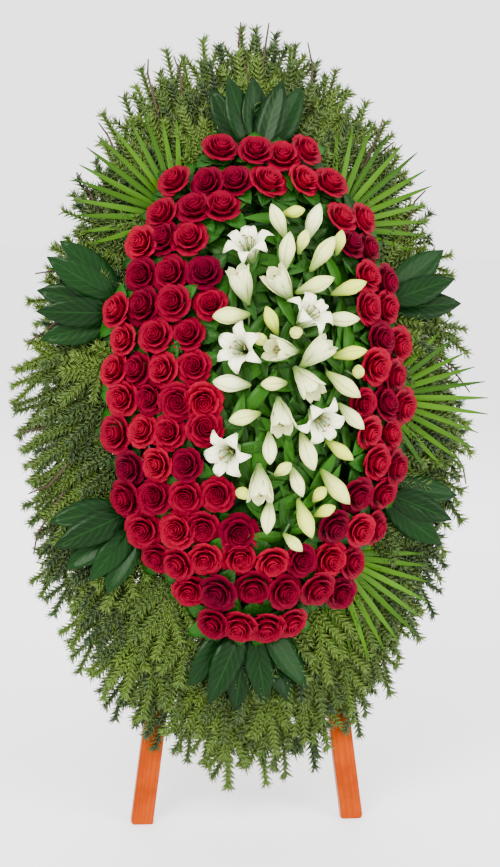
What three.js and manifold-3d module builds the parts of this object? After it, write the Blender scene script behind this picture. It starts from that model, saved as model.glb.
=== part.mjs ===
// A standing funeral wreath: an oval shield of spruce boughs with a domed bed of red roses and white
// lilies, palm fans and laurel leaves, carried by a folding wooden easel. Units are millimetres, +Z is up
// and the wreath faces -Y.
//
// Everything but the rear leg is modelled in the plane of the leaning easel: x runs to the viewer's right,
// y climbs the lean from the floor, and z comes out of the wreath towards the viewer. One group turns that
// plane into the standing position.
import * as THREE from "three";
import { mergeVertices } from "three/addons/utils/BufferGeometryUtils.js";
import Module from "manifold-3d";

const wasm = await Module();
wasm.setup();

// ---- driving dimensions ------------------------------------------------------------------------------
const gap = 0.3; // between pieces that touch
const leanDegrees = 12; // how far the easel and the wreath lean back
const openDegrees = 27; // between the front frame and the rear leg when the easel stands

const leg = { width: 41, thickness: 20, footSpread: 400, topSpread: 50, length: 1372, edge: 1.5 };
const footRound = { outer: 9, inner: 4 };
const apexBlock = { width: 128, height: 96, thickness: 22, y: 1282 };
const crossRail = { height: 45, thickness: 18, y: 300, overhang: 22 };
const ledge = { height: 22, thickness: 9 };
const coachScrew = { shank: 4, head: 7.5, headHeight: 5.5, intoLeg: 15, clearance: 0.35 };
const bracket = { plate: 3, ear: 3, height: 66, earDepth: 30, side: 0.6 };
const pivot = { y: 1290, behindPlate: 17, radius: 4, clearance: 0.4, aboveLeg: 27 };

const wreathCentre = 790; // up the lean
const body = { halfWidth: 456, halfHeight: 734, power: 1.02, egg: 0.05 };
const board = { halfWidth: 214, halfHeight: 384, thickness: 9 };
const tray = { halfWidth: 200, halfHeight: 372, height: 40, wall: 2.5 };
const foam = { edge: 72, shoulder: 104, crown: 150, shoulderShare: 0.84 };

const bed = { y: 812, halfWidth: 285, halfHeight: 462, rim: 114, crown: 224, power: 2.4, splay: 1.2 };
const roses = { rows: 16, rowPitch: 58, columnPitch: 62, bend: 0.95, wander: 8 };
const rose = { head: 31, smallest: 23, stem: 2.8 };
const lilies = { x: 44, y: 27, halfWidth: 138, halfHeight: 312, rowPitch: 60, columnPitch: 68 };
const bud = { length: 90, radius: 17.5, riseDegrees: 34 };
const flower = { length: 70, radius: 36, riseDegrees: 62, every: 6 };
const lilyStem = { radius: 4, pedicel: 2.2, below: 58 };
const lilyLeaf = { width: 27, bare: 12, thickness: 2, below: 50 };
const lilyLeaves = [
  { heading: 110, length: 70 },
  { heading: 180, length: 62 },
  { heading: 262, length: 92 },
];
const boughs = { count: 12 };
const boughLayers = [
  { thickness: 22, twigs: 5, valley: 0.83, reach: 0.94, ragged: 0.06 },
  { thickness: 22, twigs: 4, valley: 0.69, reach: 0.8, ragged: 0.07 },
];
const palm = { blades: 11, spread: 100, length: 210, bladeWidth: 14, web: 20, thickness: 2.2, petiole: 3 };
const fanOffset = 30; // from the tray to the root of a fan
const laurel = { length: 128, width: 50, thickness: 2, petiole: 2.6, bare: 44 };

const radians = (degrees) => (degrees * Math.PI) / 180;
const lean = radians(leanDegrees);

// A repeatable number from 0 to 1 for each seed, for the small irregularities of hand work.
function chance(seed) {
  const wave = Math.sin(seed * 12.9898) * 43758.5453;
  return wave - Math.floor(wave);
}

// ---- solids ------------------------------------------------------------------------------------------
function solidOf(geometry) {
  const bare = geometry.clone();
  for (const name of Object.keys(bare.attributes)) if (name !== "position") bare.deleteAttribute(name);
  const merged = mergeVertices(bare, 1e-4);
  const corners = Array.from(merged.index.array);
  const triVerts = [];
  for (let i = 0; i < corners.length; i += 3) {
    const [a, b, c] = corners.slice(i, i + 3);
    if (a !== b && b !== c && a !== c) triVerts.push(a, b, c);
  }
  const mesh = new wasm.Mesh({
    numProp: 3,
    vertProperties: merged.attributes.position.array,
    triVerts: new Uint32Array(triVerts),
  });
  return new wasm.Manifold(mesh);
}

function geometryOf(solid) {
  const mesh = solid.getMesh();
  const geometry = new THREE.BufferGeometry();
  geometry.setAttribute("position", new THREE.BufferAttribute(new Float32Array(mesh.vertProperties), 3));
  geometry.setIndex(new THREE.BufferAttribute(new Uint32Array(mesh.triVerts), 1));
  geometry.computeVertexNormals();
  return geometry;
}

const joined = (solids) => solids.reduce((whole, next) => whole.add(next));
const at = (x, y, z) => new THREE.Vector3(x, y, z);

// The matrix that stands a geometry's +Y along a direction, with its +Z turned towards facing.
function standing(origin, direction, facing = at(0, 0, 1)) {
  const up = direction.clone().normalize();
  const side = up.clone().cross(facing).normalize();
  const front = side.clone().cross(up).normalize();
  return new THREE.Matrix4().makeBasis(side, up, front).setPosition(origin);
}

function boxSolid(width, height, depth, centre) {
  return solidOf(new THREE.BoxGeometry(width, height, depth).translate(centre.x, centre.y, centre.z));
}

// A sawn timber board with eased edges, its front face at the given z.
function timber(outline, thickness, front) {
  const geometry = new THREE.ExtrudeGeometry(outline, {
    depth: thickness - 2 * leg.edge,
    bevelThickness: leg.edge,
    bevelSize: leg.edge,
    bevelOffset: -leg.edge,
    bevelSegments: 1,
    curveSegments: 4,
  });
  return solidOf(geometry.translate(0, 0, front - thickness + leg.edge));
}

function timberBoard(width, height, thickness, y, front) {
  const outline = new THREE.Shape();
  outline.moveTo(-width / 2, y - height / 2);
  outline.lineTo(width / 2, y - height / 2);
  outline.lineTo(width / 2, y + height / 2);
  outline.lineTo(-width / 2, y + height / 2);
  return timber(outline, thickness, front);
}

function rod(from, to, radius, sides = 5) {
  const along = to.clone().sub(from);
  const geometry = new THREE.CylinderGeometry(radius, radius, along.length(), sides);
  const facing = Math.abs(along.x) > Math.abs(along.z) ? at(0, 0, 1) : at(1, 0, 0);
  geometry.applyMatrix4(standing(from.clone().add(to).multiplyScalar(0.5), along, facing));
  return solidOf(geometry);
}

function extruded(points, depth, matrix) {
  const shape = new THREE.Shape(points.map(([x, y]) => new THREE.Vector2(x, y)));
  const geometry = new THREE.ExtrudeGeometry(shape, { depth, bevelEnabled: false });
  return solidOf(geometry.applyMatrix4(matrix));
}

function oval(halfWidth, halfHeight, y) {
  return new THREE.Shape().absellipse(0, y, halfWidth, halfHeight, 0, Math.PI * 2);
}

// ---- the finishes ------------------------------------------------------------------------------------
const finish = (color, roughness, metalness = 0) =>
  new THREE.MeshStandardMaterial({ color, roughness, metalness });
const finishes = {
  varnishedPine: finish(0xd9682a, 0.35),
  zincSteel: finish(0xb4b7ba, 0.35, 1),
  plywood: finish(0xc7a574, 0.8),
  trayPlastic: finish(0x22412b, 0.5),
  floralFoam: finish(0x3c7a45, 0.95),
  spruce: finish(0x4c6224, 0.8),
  palmLeaf: finish(0x3f7d2a, 0.45),
  laurelLeaf: finish(0x1f4a26, 0.3),
  redRose: finish(0xaa0a24, 0.6),
  whiteLily: finish(0xf4f0c8, 0.5),
};

const leaning = new THREE.Group();
leaning.rotation.x = Math.PI / 2 - lean;

function node(name, solid, material, parent = leaning) {
  const mesh = new THREE.Mesh(geometryOf(solid), material);
  mesh.name = name;
  parent.add(mesh);
  return mesh;
}

// ---- the easel ---------------------------------------------------------------------------------------
// What lies under the floor, in the leaning plane.
function underFloor() {
  const geometry = new THREE.BoxGeometry(2000, 400, 2000).translate(0, -200, 0);
  return solidOf(geometry.applyMatrix4(new THREE.Matrix4().makeRotationX(lean)));
}

// Half the distance between the two leg centres at a height up the lean.
const legX = (y) => (leg.footSpread - ((leg.footSpread - leg.topSpread) * y) / leg.length) / 2;

const legBack = -leg.thickness;
const railFront = legBack - gap;
const railBack = railFront - crossRail.thickness;
const blockBack = railFront - apexBlock.thickness;

function coachScrewAt(x, y, back) {
  const tip = legBack + coachScrew.intoLeg;
  const head = rod(at(x, y, back - gap), at(x, y, back - gap - coachScrew.headHeight), coachScrew.head, 6);
  const shank = rod(at(x, y, back - gap - 1), at(x, y, tip), coachScrew.shank, 12);
  return {
    solid: head.add(shank),
    hole: rod(at(x, y, back - 20), at(x, y, tip + gap), coachScrew.shank + coachScrew.clearance, 12),
  };
}

const screws = [];
for (const side of [-1, 1]) {
  const word = side < 0 ? "left" : "right";
  const blockY = apexBlock.y - 30;
  const intoRail = coachScrewAt(side * legX(crossRail.y), crossRail.y, railBack);
  const intoBlock = coachScrewAt(side * (legX(blockY) + 8), blockY, blockBack);
  screws.push({ name: `rail_coach_screw_${word}`, ...intoRail });
  screws.push({ name: `apex_coach_screw_${word}`, ...intoBlock });
}
const screwHoles = joined(screws.map((screw) => screw.hole));

// A batten with a square top and a foot cut flush with the floor, its lower corners rounded over.
function frontLeg(side) {
  const half = leg.width / 2;
  const foot = leg.footSpread / 2;
  const top = leg.topSpread / 2;
  const outline = new THREE.Shape();
  outline.moveTo(side * (top - half), leg.length);
  outline.lineTo(side * (foot - half), footRound.inner);
  outline.quadraticCurveTo(side * (foot - half), 0, side * (foot - half + footRound.inner), 0);
  outline.lineTo(side * (foot + half - footRound.outer), 0);
  outline.quadraticCurveTo(side * (foot + half), 0, side * (foot + half), footRound.outer);
  outline.lineTo(side * (top + half), leg.length);
  return timber(outline, leg.thickness, 0).subtract(underFloor()).subtract(screwHoles);
}

function buildEasel() {
  node("left_front_leg", frontLeg(-1), finishes.varnishedPine);
  node("right_front_leg", frontLeg(1), finishes.varnishedPine);

  const railWidth = 2 * legX(crossRail.y) + leg.width + 2 * crossRail.overhang;
  const rail = timberBoard(railWidth, crossRail.height, crossRail.thickness, crossRail.y, railFront);
  node("cross_rail", rail.subtract(screwHoles), finishes.varnishedPine);

  const block = timberBoard(apexBlock.width, apexBlock.height, apexBlock.thickness, apexBlock.y, railFront);
  node("apex_block", block.subtract(screwHoles), finishes.varnishedPine);
  for (const screw of screws) node(screw.name, screw.solid, finishes.zincSteel);

  const ledgeY = wreathCentre - board.halfHeight - gap - ledge.height / 2;
  const ledgeWidth = 2 * legX(ledgeY) + leg.width;
  const shelf = timberBoard(ledgeWidth, ledge.height, ledge.thickness, ledgeY, gap + ledge.thickness);
  node("board_ledge", shelf, finishes.varnishedPine);
}

// ---- the folding joint and the rear leg ---------------------------------------------------------------
// A steel U-bracket on the apex block holds the rear leg between its ears on one pivot bolt. The top of
// the leg is cut so that it bears on the bracket's plate when the easel stands open.
const plateFront = blockBack - gap;
const plateBack = plateFront - bracket.plate;
const pivotAt = at(0, pivot.y, plateBack - pivot.behindPlate);
const earIn = leg.width / 2 + bracket.side;
const earOut = earIn + bracket.ear;
const boltReach = earOut + 9;

// A rod along the pivot's axis, from one x to another.
const onPivot = (from, to, radius, sides) =>
  rod(at(from, pivot.y, pivotAt.z), at(to, pivot.y, pivotAt.z), radius, sides);

function buildFoldingJoint() {
  const plateMiddle = (plateFront + plateBack) / 2;
  const plate = boxSolid(2 * earOut, bracket.height, bracket.plate, at(0, pivot.y, plateMiddle));
  const earLength = bracket.earDepth + bracket.plate;
  const ears = [-1, 1].map((side) => {
    const centre = at((side * (earIn + earOut)) / 2, pivot.y, plateFront - earLength / 2);
    return boxSolid(bracket.ear, bracket.height * 0.6, earLength, centre);
  });
  const bore = onPivot(-boltReach, boltReach, pivot.radius + pivot.clearance, 16);
  node("hinge_bracket", joined([plate, ...ears]).subtract(bore), finishes.zincSteel);

  const headX = earOut + gap;
  const shank = onPivot(-headX - 1, boltReach, pivot.radius, 16);
  const head = onPivot(-headX, -headX - 4.5, 8, 12);
  node("pivot_bolt", shank.add(head), finishes.zincSteel);

  const nut = onPivot(headX, headX + 6.5, 7.5, 6);
  const thread = onPivot(earOut, boltReach + 5, pivot.radius + gap, 16);
  node("pivot_nut", nut.subtract(thread), finishes.zincSteel);
}

function buildRearLeg() {
  const open = radians(openDegrees);
  const pivotHeight = pivotAt.y * Math.cos(lean) + pivotAt.z * Math.sin(lean);
  const reach = pivotHeight / Math.cos(open - lean);
  const below = reach + 60; // past the floor, and cut back to it
  const batten = new THREE.BoxGeometry(leg.width, below + pivot.aboveLeg, leg.thickness);
  batten.translate(0, (pivot.aboveLeg - below) / 2, 0);
  batten.applyMatrix4(new THREE.Matrix4().makeRotationX(open).setPosition(pivotAt));
  const stopFace = boxSolid(200, 400, 200, at(0, pivot.y + 60, plateBack - gap + 100));
  const bore = onPivot(-60, 60, pivot.radius + pivot.clearance, 16);
  const solid = solidOf(batten).subtract(underFloor()).subtract(stopFace).subtract(bore);
  node("rear_leg", solid, finishes.varnishedPine);
}

// ---- the base: board, tray and foam --------------------------------------------------------------------
const boardFront = gap + board.thickness;
const trayBack = boardFront + gap;
const foamBack = trayBack + tray.wall + gap;

// How far forward the domed face of the foam is at a place in the leaning plane.
function foamFace(x, y) {
  const share = Math.min(1, Math.hypot(x / tray.halfWidth, (y - wreathCentre) / tray.halfHeight));
  if (share > foam.shoulderShare) {
    const part = (share - foam.shoulderShare) / (1 - foam.shoulderShare);
    return foamBack + foam.shoulder + (foam.edge - foam.shoulder) * part;
  }
  return foamBack + foam.crown + ((foam.shoulder - foam.crown) * share) / foam.shoulderShare;
}
const holes = []; // where stems are pushed into the foam

// A stem pushed into the foam, and the hole it makes there.
function pick(from, to, radius, sides = 4) {
  const along = to.clone().sub(from).normalize();
  holes.push(rod(from.clone().addScaledVector(along, -1), to, radius + gap, sides));
  return rod(from, to, radius, sides);
}

function buildBase() {
  const whole = { bevelEnabled: false, curveSegments: 12 };
  const panel = new THREE.ExtrudeGeometry(oval(board.halfWidth, board.halfHeight, wreathCentre), {
    depth: board.thickness,
    ...whole,
  });
  node("backing_board", solidOf(panel.translate(0, 0, gap)), finishes.plywood);

  const ring = oval(tray.halfWidth, tray.halfHeight, wreathCentre);
  const outside = new THREE.ExtrudeGeometry(ring, { depth: tray.height, ...whole });
  const inner = oval(tray.halfWidth - tray.wall, tray.halfHeight - tray.wall, wreathCentre);
  const inside = new THREE.ExtrudeGeometry(inner, { depth: tray.height, ...whole });
  outside.translate(0, 0, trayBack);
  inside.translate(0, 0, trayBack + tray.wall);
  node("foam_tray", solidOf(outside).subtract(solidOf(inside)), finishes.trayPlastic);
}

// The foam fills the tray and rises in front of it to a dome that follows the flower bed.
function buildFoam() {
  const inset = tray.wall + gap + 0.4;
  const halfWidth = tray.halfWidth - inset;
  const halfHeight = tray.halfHeight - inset;
  const profile = [[0, 0], [1, 0], [1, foam.edge], [foam.shoulderShare, foam.shoulder], [0, foam.crown]];
  const points = profile.map(([x, y]) => new THREE.Vector2(x, y));
  const dome = new THREE.LatheGeometry(points, 24).rotateX(Math.PI / 2).scale(halfWidth, halfHeight, 1);
  const pieces = solidOf(dome.translate(0, wreathCentre, foamBack)).subtract(joined(holes)).decompose();
  pieces.sort((a, b) => b.volume() - a.volume());
  node("foam_block", pieces[0], finishes.floralFoam);
}

// ---- the flower bed -------------------------------------------------------------------------------------
// The place and the outward direction of a flower at x, y from the middle of the domed bed.
function onDome(x, y) {
  const across = x / bed.halfWidth;
  const along = y / bed.halfHeight;
  const share = Math.min(Math.hypot(across, along), 1.1);
  const fall = bed.crown - bed.rim;
  const slope = bed.splay * bed.power * fall * share ** (bed.power - 2);
  return {
    point: at(x, bed.y + y, bed.rim + fall * (1 - share ** bed.power)),
    outward: at((slope * across) / bed.halfWidth, (slope * along) / bed.halfHeight, 1).normalize(),
  };
}

// The room between two flowers, each given as a row of balls.
function roomBetween(one, other) {
  const rooms = one.flatMap((a) => other.map((b) => a.centre.distanceTo(b.centre) - a.radius - b.radius));
  return Math.min(...rooms);
}

// A lily at x, y on the dome: where its base is, which way it points, and the balls it fills.
function lilyAt(x, y, heading, form) {
  const { point, outward } = onDome(x, y);
  const tangent = at(Math.cos(heading), Math.sin(heading), 0);
  tangent.addScaledVector(outward, -tangent.dot(outward)).normalize();
  const rise = radians(form.riseDegrees);
  const axis = tangent.multiplyScalar(Math.cos(rise)).addScaledVector(outward, Math.sin(rise));
  const base = point.clone().addScaledVector(axis, -0.5 * form.length).addScaledVector(outward, 10);
  const swell = form === bud ? [0.55, 0.92, 1, 0.85, 0.5] : [0.2, 0.3, 0.4, 0.6, 0.95];
  const balls = swell.map((share, i) => ({
    centre: base.clone().addScaledVector(axis, form.length * (0.14 + 0.18 * i)),
    radius: form.radius * share,
  }));
  return { point, base, axis, form, balls };
}

// Lilies stand in rows, and each is turned until it is clear of those already placed.
function lilyPlaces() {
  const places = [];
  const rows = Math.round((2 * lilies.halfHeight) / lilies.rowPitch);
  for (let row = 0; row < rows; row++) {
    const rise = (row - (rows - 1) / 2) * lilies.rowPitch;
    const reach = lilies.halfWidth * Math.sqrt(Math.max(0, 1 - (rise / lilies.halfHeight) ** 2));
    const count = Math.max(1, Math.round((2 * reach) / lilies.columnPitch));
    for (let column = 0; column < count; column++) {
      const seed = 500 + row * 10 + column;
      const offset = (column - (count - 1) / 2 + (row % 2 ? 0.14 : -0.14)) * lilies.columnPitch;
      const side = offset < 0 ? "left" : "right";
      const bunch = `${side}_${Math.floor((3 * row) / rows) + 1}`;
      const form = (row * 4 + column) % flower.every === 2 ? flower : bud;
      const first = Math.atan2(rise / 2, offset) + radians(70) * (chance(seed) - 0.5);
      for (let turn = 0; turn < 12; turn++) {
        const heading = first + radians(30) * Math.ceil(turn / 2) * (turn % 2 ? 1 : -1);
        const lily = { ...lilyAt(lilies.x + offset, lilies.y + rise, heading, form), bunch };
        const rooms = places.map((other) => {
          const touching = other.bunch === bunch ? 5 : 0; // lilies of one stem may press together
          return roomBetween(lily.balls, other.balls) + touching;
        });
        if (Math.min(...rooms, 9) <= 2) continue;
        places.push(lily);
        break;
      }
    }
  }
  return places;
}

function rosePlaces(lilyList) {
  const places = [];
  for (let row = 0; row < roses.rows; row++) {
    const y = (row - (roses.rows - 1) / 2) * roses.rowPitch;
    const reach = bed.halfWidth * Math.sqrt(1 - (y / bed.halfHeight) ** 2);
    const count = Math.max(2, Math.round((2.3 * reach) / roses.columnPitch));
    const shift = row % 2 ? 0.22 : -0.22;
    for (let column = 0; column < count; column++) {
      const seed = row * 20 + column + 1;
      const s = (2 * (column + 0.5 + shift)) / count - 1;
      const evenly = (reach * Math.sin(roses.bend * s)) / Math.sin(roses.bend);
      const x = evenly + roses.wander * (chance(seed) - 0.5);
      const dome = onDome(x, y + roses.wander * (chance(seed + 0.5) - 0.5));
      const ball = [{ centre: dome.point, radius: 0 }];
      const room = Math.min(...lilyList.map((lily) => roomBetween(ball, lily.balls))) - 1;
      if (room < rose.smallest) continue;
      const bunch = `${x < lilies.x ? "left" : "right"}_${Math.floor(row / 2) + 1}`;
      places.push({ ...dome, bunch, radius: Math.min(rose.head, room) });
    }
  }
  for (const place of places) {
    const strangers = places.filter((other) => other.bunch !== place.bunch);
    const nearest = Math.min(...strangers.map((other) => other.point.distanceTo(place.point)));
    place.radius = Math.min(place.radius, nearest / 2 - 0.5);
  }
  return places;
}

// A half-open bloom: a cup of petals with a rolled rim and a tight heart.
function roseHead(place) {
  const r = place.radius;
  const profile = [[0, -0.85], [0.72, -0.5], [1, 0.15], [0.66, 0.7], [0, 0.5]];
  const points = profile.map(([x, y]) => new THREE.Vector2(x * r, y * r));
  const geometry = new THREE.LatheGeometry(points, 7);
  return solidOf(geometry.applyMatrix4(standing(place.point, place.outward, at(0.3, 0.1, 1))));
}

const middleOf = (places) =>
  places.reduce((sum, place) => sum.add(place.point), at(0, 0, 0)).divideScalar(places.length);

// Places sorted into their bunches.
function bunches(places) {
  const groups = new Map();
  for (const place of places) groups.set(place.bunch, [...(groups.get(place.bunch) ?? []), place]);
  return groups;
}

function buildRoses(places) {
  // The roses of one bunch are wired to one pick, and only the pick goes into the foam.
  for (const [bunch, members] of bunches(places)) {
    const middle = middleOf(members);
    const inwards = at(0.84 * middle.x, wreathCentre + 0.84 * (middle.y - wreathCentre), 0);
    inwards.z = foamFace(inwards.x, inwards.y) + 9;
    const tip = at(0.66 * inwards.x, wreathCentre + 0.66 * (inwards.y - wreathCentre), inwards.z - 60);
    const solids = members.map((place) => {
      const neck = place.point.clone().addScaledVector(place.outward, -0.6 * place.radius);
      return roseHead(place).add(pick(inwards, neck, rose.stem));
    });
    solids.push(pick(tip, inwards, rose.stem));
    node(`roses_${bunch}`, joined(solids), finishes.redRose);
  }
}

// ---- lilies ---------------------------------------------------------------------------------------------
function lilyHead({ base, axis, form }) {
  const closed = [[0, 0], [0.55, 0.16], [1, 0.46], [0.78, 0.76], [0, 1]];
  const open = [[0, 0], [0.2, 0.15], [0.42, 0.6], [1, 0.9], [0.86, 1], [0, 0.5]];
  const profile = (form === bud ? closed : open).map(
    ([x, y]) => new THREE.Vector2(x * form.radius, y * form.length),
  );
  return solidOf(new THREE.LatheGeometry(profile, 6).applyMatrix4(standing(base, axis, at(0.2, 0.1, 1))));
}

function buildLilies(places) {
  for (const [bunch, members] of bunches(places)) {
    const middle = middleOf(members);
    const crown = middle.clone().add(at(0, 0, -lilyStem.below));
    const tip = at(middle.x, crown.y, foamBack + 50);
    const solids = [pick(tip, crown, lilyStem.radius, 5)];
    for (const lily of members) {
      const neck = lily.base.clone().addScaledVector(lily.axis, 0.1 * lily.form.length);
      solids.push(lilyHead(lily), pick(crown, neck, lilyStem.pedicel));
    }
    const side = bunch.startsWith("left") ? 1 : -1;
    for (const { heading, length } of lilyLeaves) {
      const reach = lilyLeaf.bare + length;
      const end = onDome(
        crown.x + side * reach * Math.cos(radians(heading)),
        crown.y - bed.y + reach * Math.sin(radians(heading)),
      ).point;
      const direction = end.sub(crown).add(at(0, 0, -lilyLeaf.below));
      solids.push(leafBlade(crown, direction, lilyLeaf, length));
    }
    node(`lily_stem_${bunch}`, joined(solids), finishes.whiteLily);
  }
}

// ---- greenery ---------------------------------------------------------------------------------------------
// A point on the outline of the spruce body, or on a smaller outline of the same form.
function onBody(turn, share = 1) {
  const c = Math.cos(turn);
  const s = Math.sin(turn);
  return {
    x: body.halfWidth * share * Math.sign(c) * Math.abs(c) ** body.power * (1 - body.egg * s),
    y: wreathCentre + body.halfHeight * share * Math.sign(s) * Math.abs(s) ** body.power,
  };
}

// A point on the edge of the hole that the boughs leave for the tray, in line with onBody(turn).
function aroundTray(turn) {
  const rim = onBody(turn);
  const dy = rim.y - wreathCentre;
  const share = 1 / Math.hypot(rim.x / (tray.halfWidth + 6), dy / (tray.halfHeight + 6));
  return [rim.x * share, wreathCentre + dy * share];
}

// One layer of a bough: twigs side by side, each with two side twigs, over a twelfth of the way round.
function twigLayer(index, layer, seed, back) {
  const margin = 0.0012;
  const start = (index * 2 * Math.PI) / boughs.count + margin;
  const step = (2 * Math.PI) / boughs.count - 2 * margin;
  const outline = [];
  const put = (part, share) => {
    const { x, y } = onBody(start + step * part, share);
    outline.push([x, y]);
  };
  for (let i = 0; i < layer.twigs; i++) {
    const left = i / layer.twigs;
    const width = 1 / layer.twigs;
    const tip = layer.reach + layer.ragged * chance(seed + index * 11 + i * 3);
    const side = (tip + layer.valley) / 2 + 0.02;
    const lean = 0.14 * (chance(seed + index * 5 + i) - 0.5);
    put(left, layer.valley);
    put(left + width * 0.2, side);
    put(left + width * 0.34, side - 0.02);
    put(left + width * (0.5 + lean), tip);
    put(left + width * 0.66, side - 0.02);
    put(left + width * 0.84, side);
  }
  put(1, layer.valley);
  for (const part of [1, 0.67, 0.33, 0]) outline.push(aroundTray(start + step * part));
  return extruded(outline, layer.thickness, new THREE.Matrix4().makeTranslation(0, 0, back));
}

function bough(index) {
  let back = boardFront + gap;
  const layers = boughLayers.map((layer, i) => {
    const solid = twigLayer(index, layer, 40 * i, back);
    back += layer.thickness - 0.5; // each layer is pressed a little into the one behind
    return solid;
  });
  return joined(layers);
}

function buildBoughs() {
  for (let i = 0; i < boughs.count; i++) {
    node(`spruce_bough_${String(i + 1).padStart(2, "0")}`, bough(i), finishes.spruce);
  }
}

// The root of a fan of leaves: just outside the foam, in front of the spruce.
function fanRoot(degrees) {
  const turn = radians(degrees);
  const x = (tray.halfWidth + fanOffset) * Math.cos(turn);
  const y = bed.y + (tray.halfHeight + fanOffset) * Math.sin(turn);
  const inward = at(x * 0.72, wreathCentre + (y - wreathCentre) * 0.72, foamBack + 40);
  return { root: at(x, y, foamBack + 56), inward };
}

function outwardFrom(root, degrees, climb) {
  const turn = radians(degrees);
  return at(Math.cos(turn), Math.sin(turn), Math.tan(radians(climb)));
}

// A palm leaf trimmed to a fan: narrow blades that grow out of a small web at the end of one petiole.
function palmFan(degrees, headingDegrees) {
  const { root, inward } = fanRoot(degrees);
  const direction = outwardFrom(root, headingDegrees, 5);
  const web = new THREE.CylinderGeometry(palm.web, palm.web, palm.thickness, 16).rotateX(Math.PI / 2);
  web.translate(0, 0, palm.thickness / 2).applyMatrix4(standing(root, direction));
  const solids = [pick(inward, root, palm.petiole), solidOf(web)];
  for (let i = 0; i < palm.blades; i++) {
    const turn = radians(palm.spread) * (i / (palm.blades - 1) - 0.5);
    const length = palm.length * (1 - 0.25 * (turn / radians(palm.spread / 2)) ** 2);
    const half = palm.bladeWidth / 2;
    const blade = [[0.9, 13], [half, 0.45 * length], [0, length], [-half, 0.45 * length], [-0.9, 13]];
    const place = standing(root, direction).multiply(new THREE.Matrix4().makeRotationZ(-turn));
    solids.push(extruded(blade, palm.thickness, place));
  }
  return joined(solids);
}

// A flat leaf on a bare stalk, from its root along a direction.
function leafBlade(root, direction, form, length) {
  const half = form.width / 2;
  const bare = form.bare;
  const swell = [[0.7, 0.22], [1, 0.5], [0.66, 0.8]];
  const right = swell.map(([x, y]) => [half * x, bare + length * y]);
  const left = right.map(([x, y]) => [-x, y]).reverse();
  const outline = [[1.6, 0], [1.6, bare], ...right, [0, bare + length], ...left, [-1.6, bare], [-1.6, 0]];
  return extruded(outline, form.thickness, standing(root, direction));
}

// Laurel leaves wired to one pick, each on its own bare stalk.
function laurelFan(degrees, headings) {
  const { root, inward } = fanRoot(degrees);
  const solids = [pick(inward, root, laurel.petiole)];
  headings.forEach((heading, i) => {
    const direction = outwardFrom(root, heading, 3 + 6 * (i % 2));
    solids.push(leafBlade(root, direction, laurel, laurel.length * (0.94 + 0.12 * chance(degrees + i))));
  });
  return joined(solids);
}

function buildFans() {
  node("palm_fan_upper_left", palmFan(128, 140), finishes.palmLeaf);
  node("palm_fan_upper_right", palmFan(50, 46), finishes.palmLeaf);
  node("palm_fan_right", palmFan(-2, -4), finishes.palmLeaf);
  node("palm_fan_lower_right", palmFan(-50, -48), finishes.palmLeaf);
  node("laurel_fan_top", laurelFan(90, [112, 90, 70]), finishes.laurelLeaf);
  node("laurel_fan_upper_left", laurelFan(160, [146, 168, 190]), finishes.laurelLeaf);
  node("laurel_fan_lower_left", laurelFan(212, [196, 216, 236]), finishes.laurelLeaf);
  node("laurel_fan_bottom", laurelFan(268, [238, 258, 278, 300]), finishes.laurelLeaf);
  node("laurel_fan_lower_right", laurelFan(-26, [-12, -32]), finishes.laurelLeaf);
  node("laurel_fan_upper_right", laurelFan(22, [12, 32]), finishes.laurelLeaf);
}

// ---- the whole ---------------------------------------------------------------------------------------
buildEasel();
buildFoldingJoint();
buildRearLeg();
buildBase();
const lilyList = lilyPlaces();
buildRoses(rosePlaces(lilyList));
buildLilies(lilyList);
buildFans();
buildBoughs();
buildFoam();

// The origin is on the floor, under the middle of the whole.
const wreath = new THREE.Group();
wreath.add(leaning);
wreath.updateMatrixWorld(true);
const extent = new THREE.Box3().setFromObject(wreath, true);
const middle = extent.getCenter(new THREE.Vector3());
wreath.position.set(-middle.x, -middle.y, -extent.min.z);

export default wreath;
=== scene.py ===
import bpy
import math
import numpy as np
from mathutils import Matrix, Vector


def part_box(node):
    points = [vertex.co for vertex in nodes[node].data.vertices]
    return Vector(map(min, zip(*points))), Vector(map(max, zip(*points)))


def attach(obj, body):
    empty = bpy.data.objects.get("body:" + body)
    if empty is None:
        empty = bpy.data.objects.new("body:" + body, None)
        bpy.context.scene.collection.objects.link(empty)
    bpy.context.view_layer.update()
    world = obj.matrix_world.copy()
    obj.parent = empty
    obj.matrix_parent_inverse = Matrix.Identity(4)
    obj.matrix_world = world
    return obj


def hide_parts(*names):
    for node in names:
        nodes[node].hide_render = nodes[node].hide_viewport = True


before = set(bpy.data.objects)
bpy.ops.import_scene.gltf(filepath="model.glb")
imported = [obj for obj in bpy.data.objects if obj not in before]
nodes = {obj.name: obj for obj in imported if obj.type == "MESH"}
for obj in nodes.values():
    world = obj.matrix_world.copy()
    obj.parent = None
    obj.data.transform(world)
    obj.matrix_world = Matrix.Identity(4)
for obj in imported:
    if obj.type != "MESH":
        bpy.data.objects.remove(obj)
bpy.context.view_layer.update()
wreathBody = "wreath_and_frame"

# Flowers and greenery are laid out in millimetres in the plane of the leaning easel:
# x to the right, y up the lean, z out of the wreath.
easel = {"leanDegrees": 12, "wreathCentre": 790, "boardMiddle": 4.8}


def leaningPlane():  # from the easel's plane to the world, in metres
    low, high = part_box("backing_board")
    turn = Matrix.Rotation(math.radians(90 - easel["leanDegrees"]), 4, "X")
    boardMiddle = Vector((0, easel["wreathCentre"], easel["boardMiddle"]))
    toMetres = Matrix.Scale(0.001, 4)
    return Matrix.Translation((low + high) / 2) @ turn @ toMetres @ Matrix.Translation(-boardMiddle)


plane = leaningPlane()


def chance(seed):  # a repeatable number from 0 to 1
    wave = math.sin(seed * 12.9898) * 43758.5453
    return wave - math.floor(wave)


def scatter(seed, size):  # a repeatable number from -size to size
    return size * (2 * chance(seed) - 1)


def nearest(value):
    return math.floor(value + 0.5)


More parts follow.
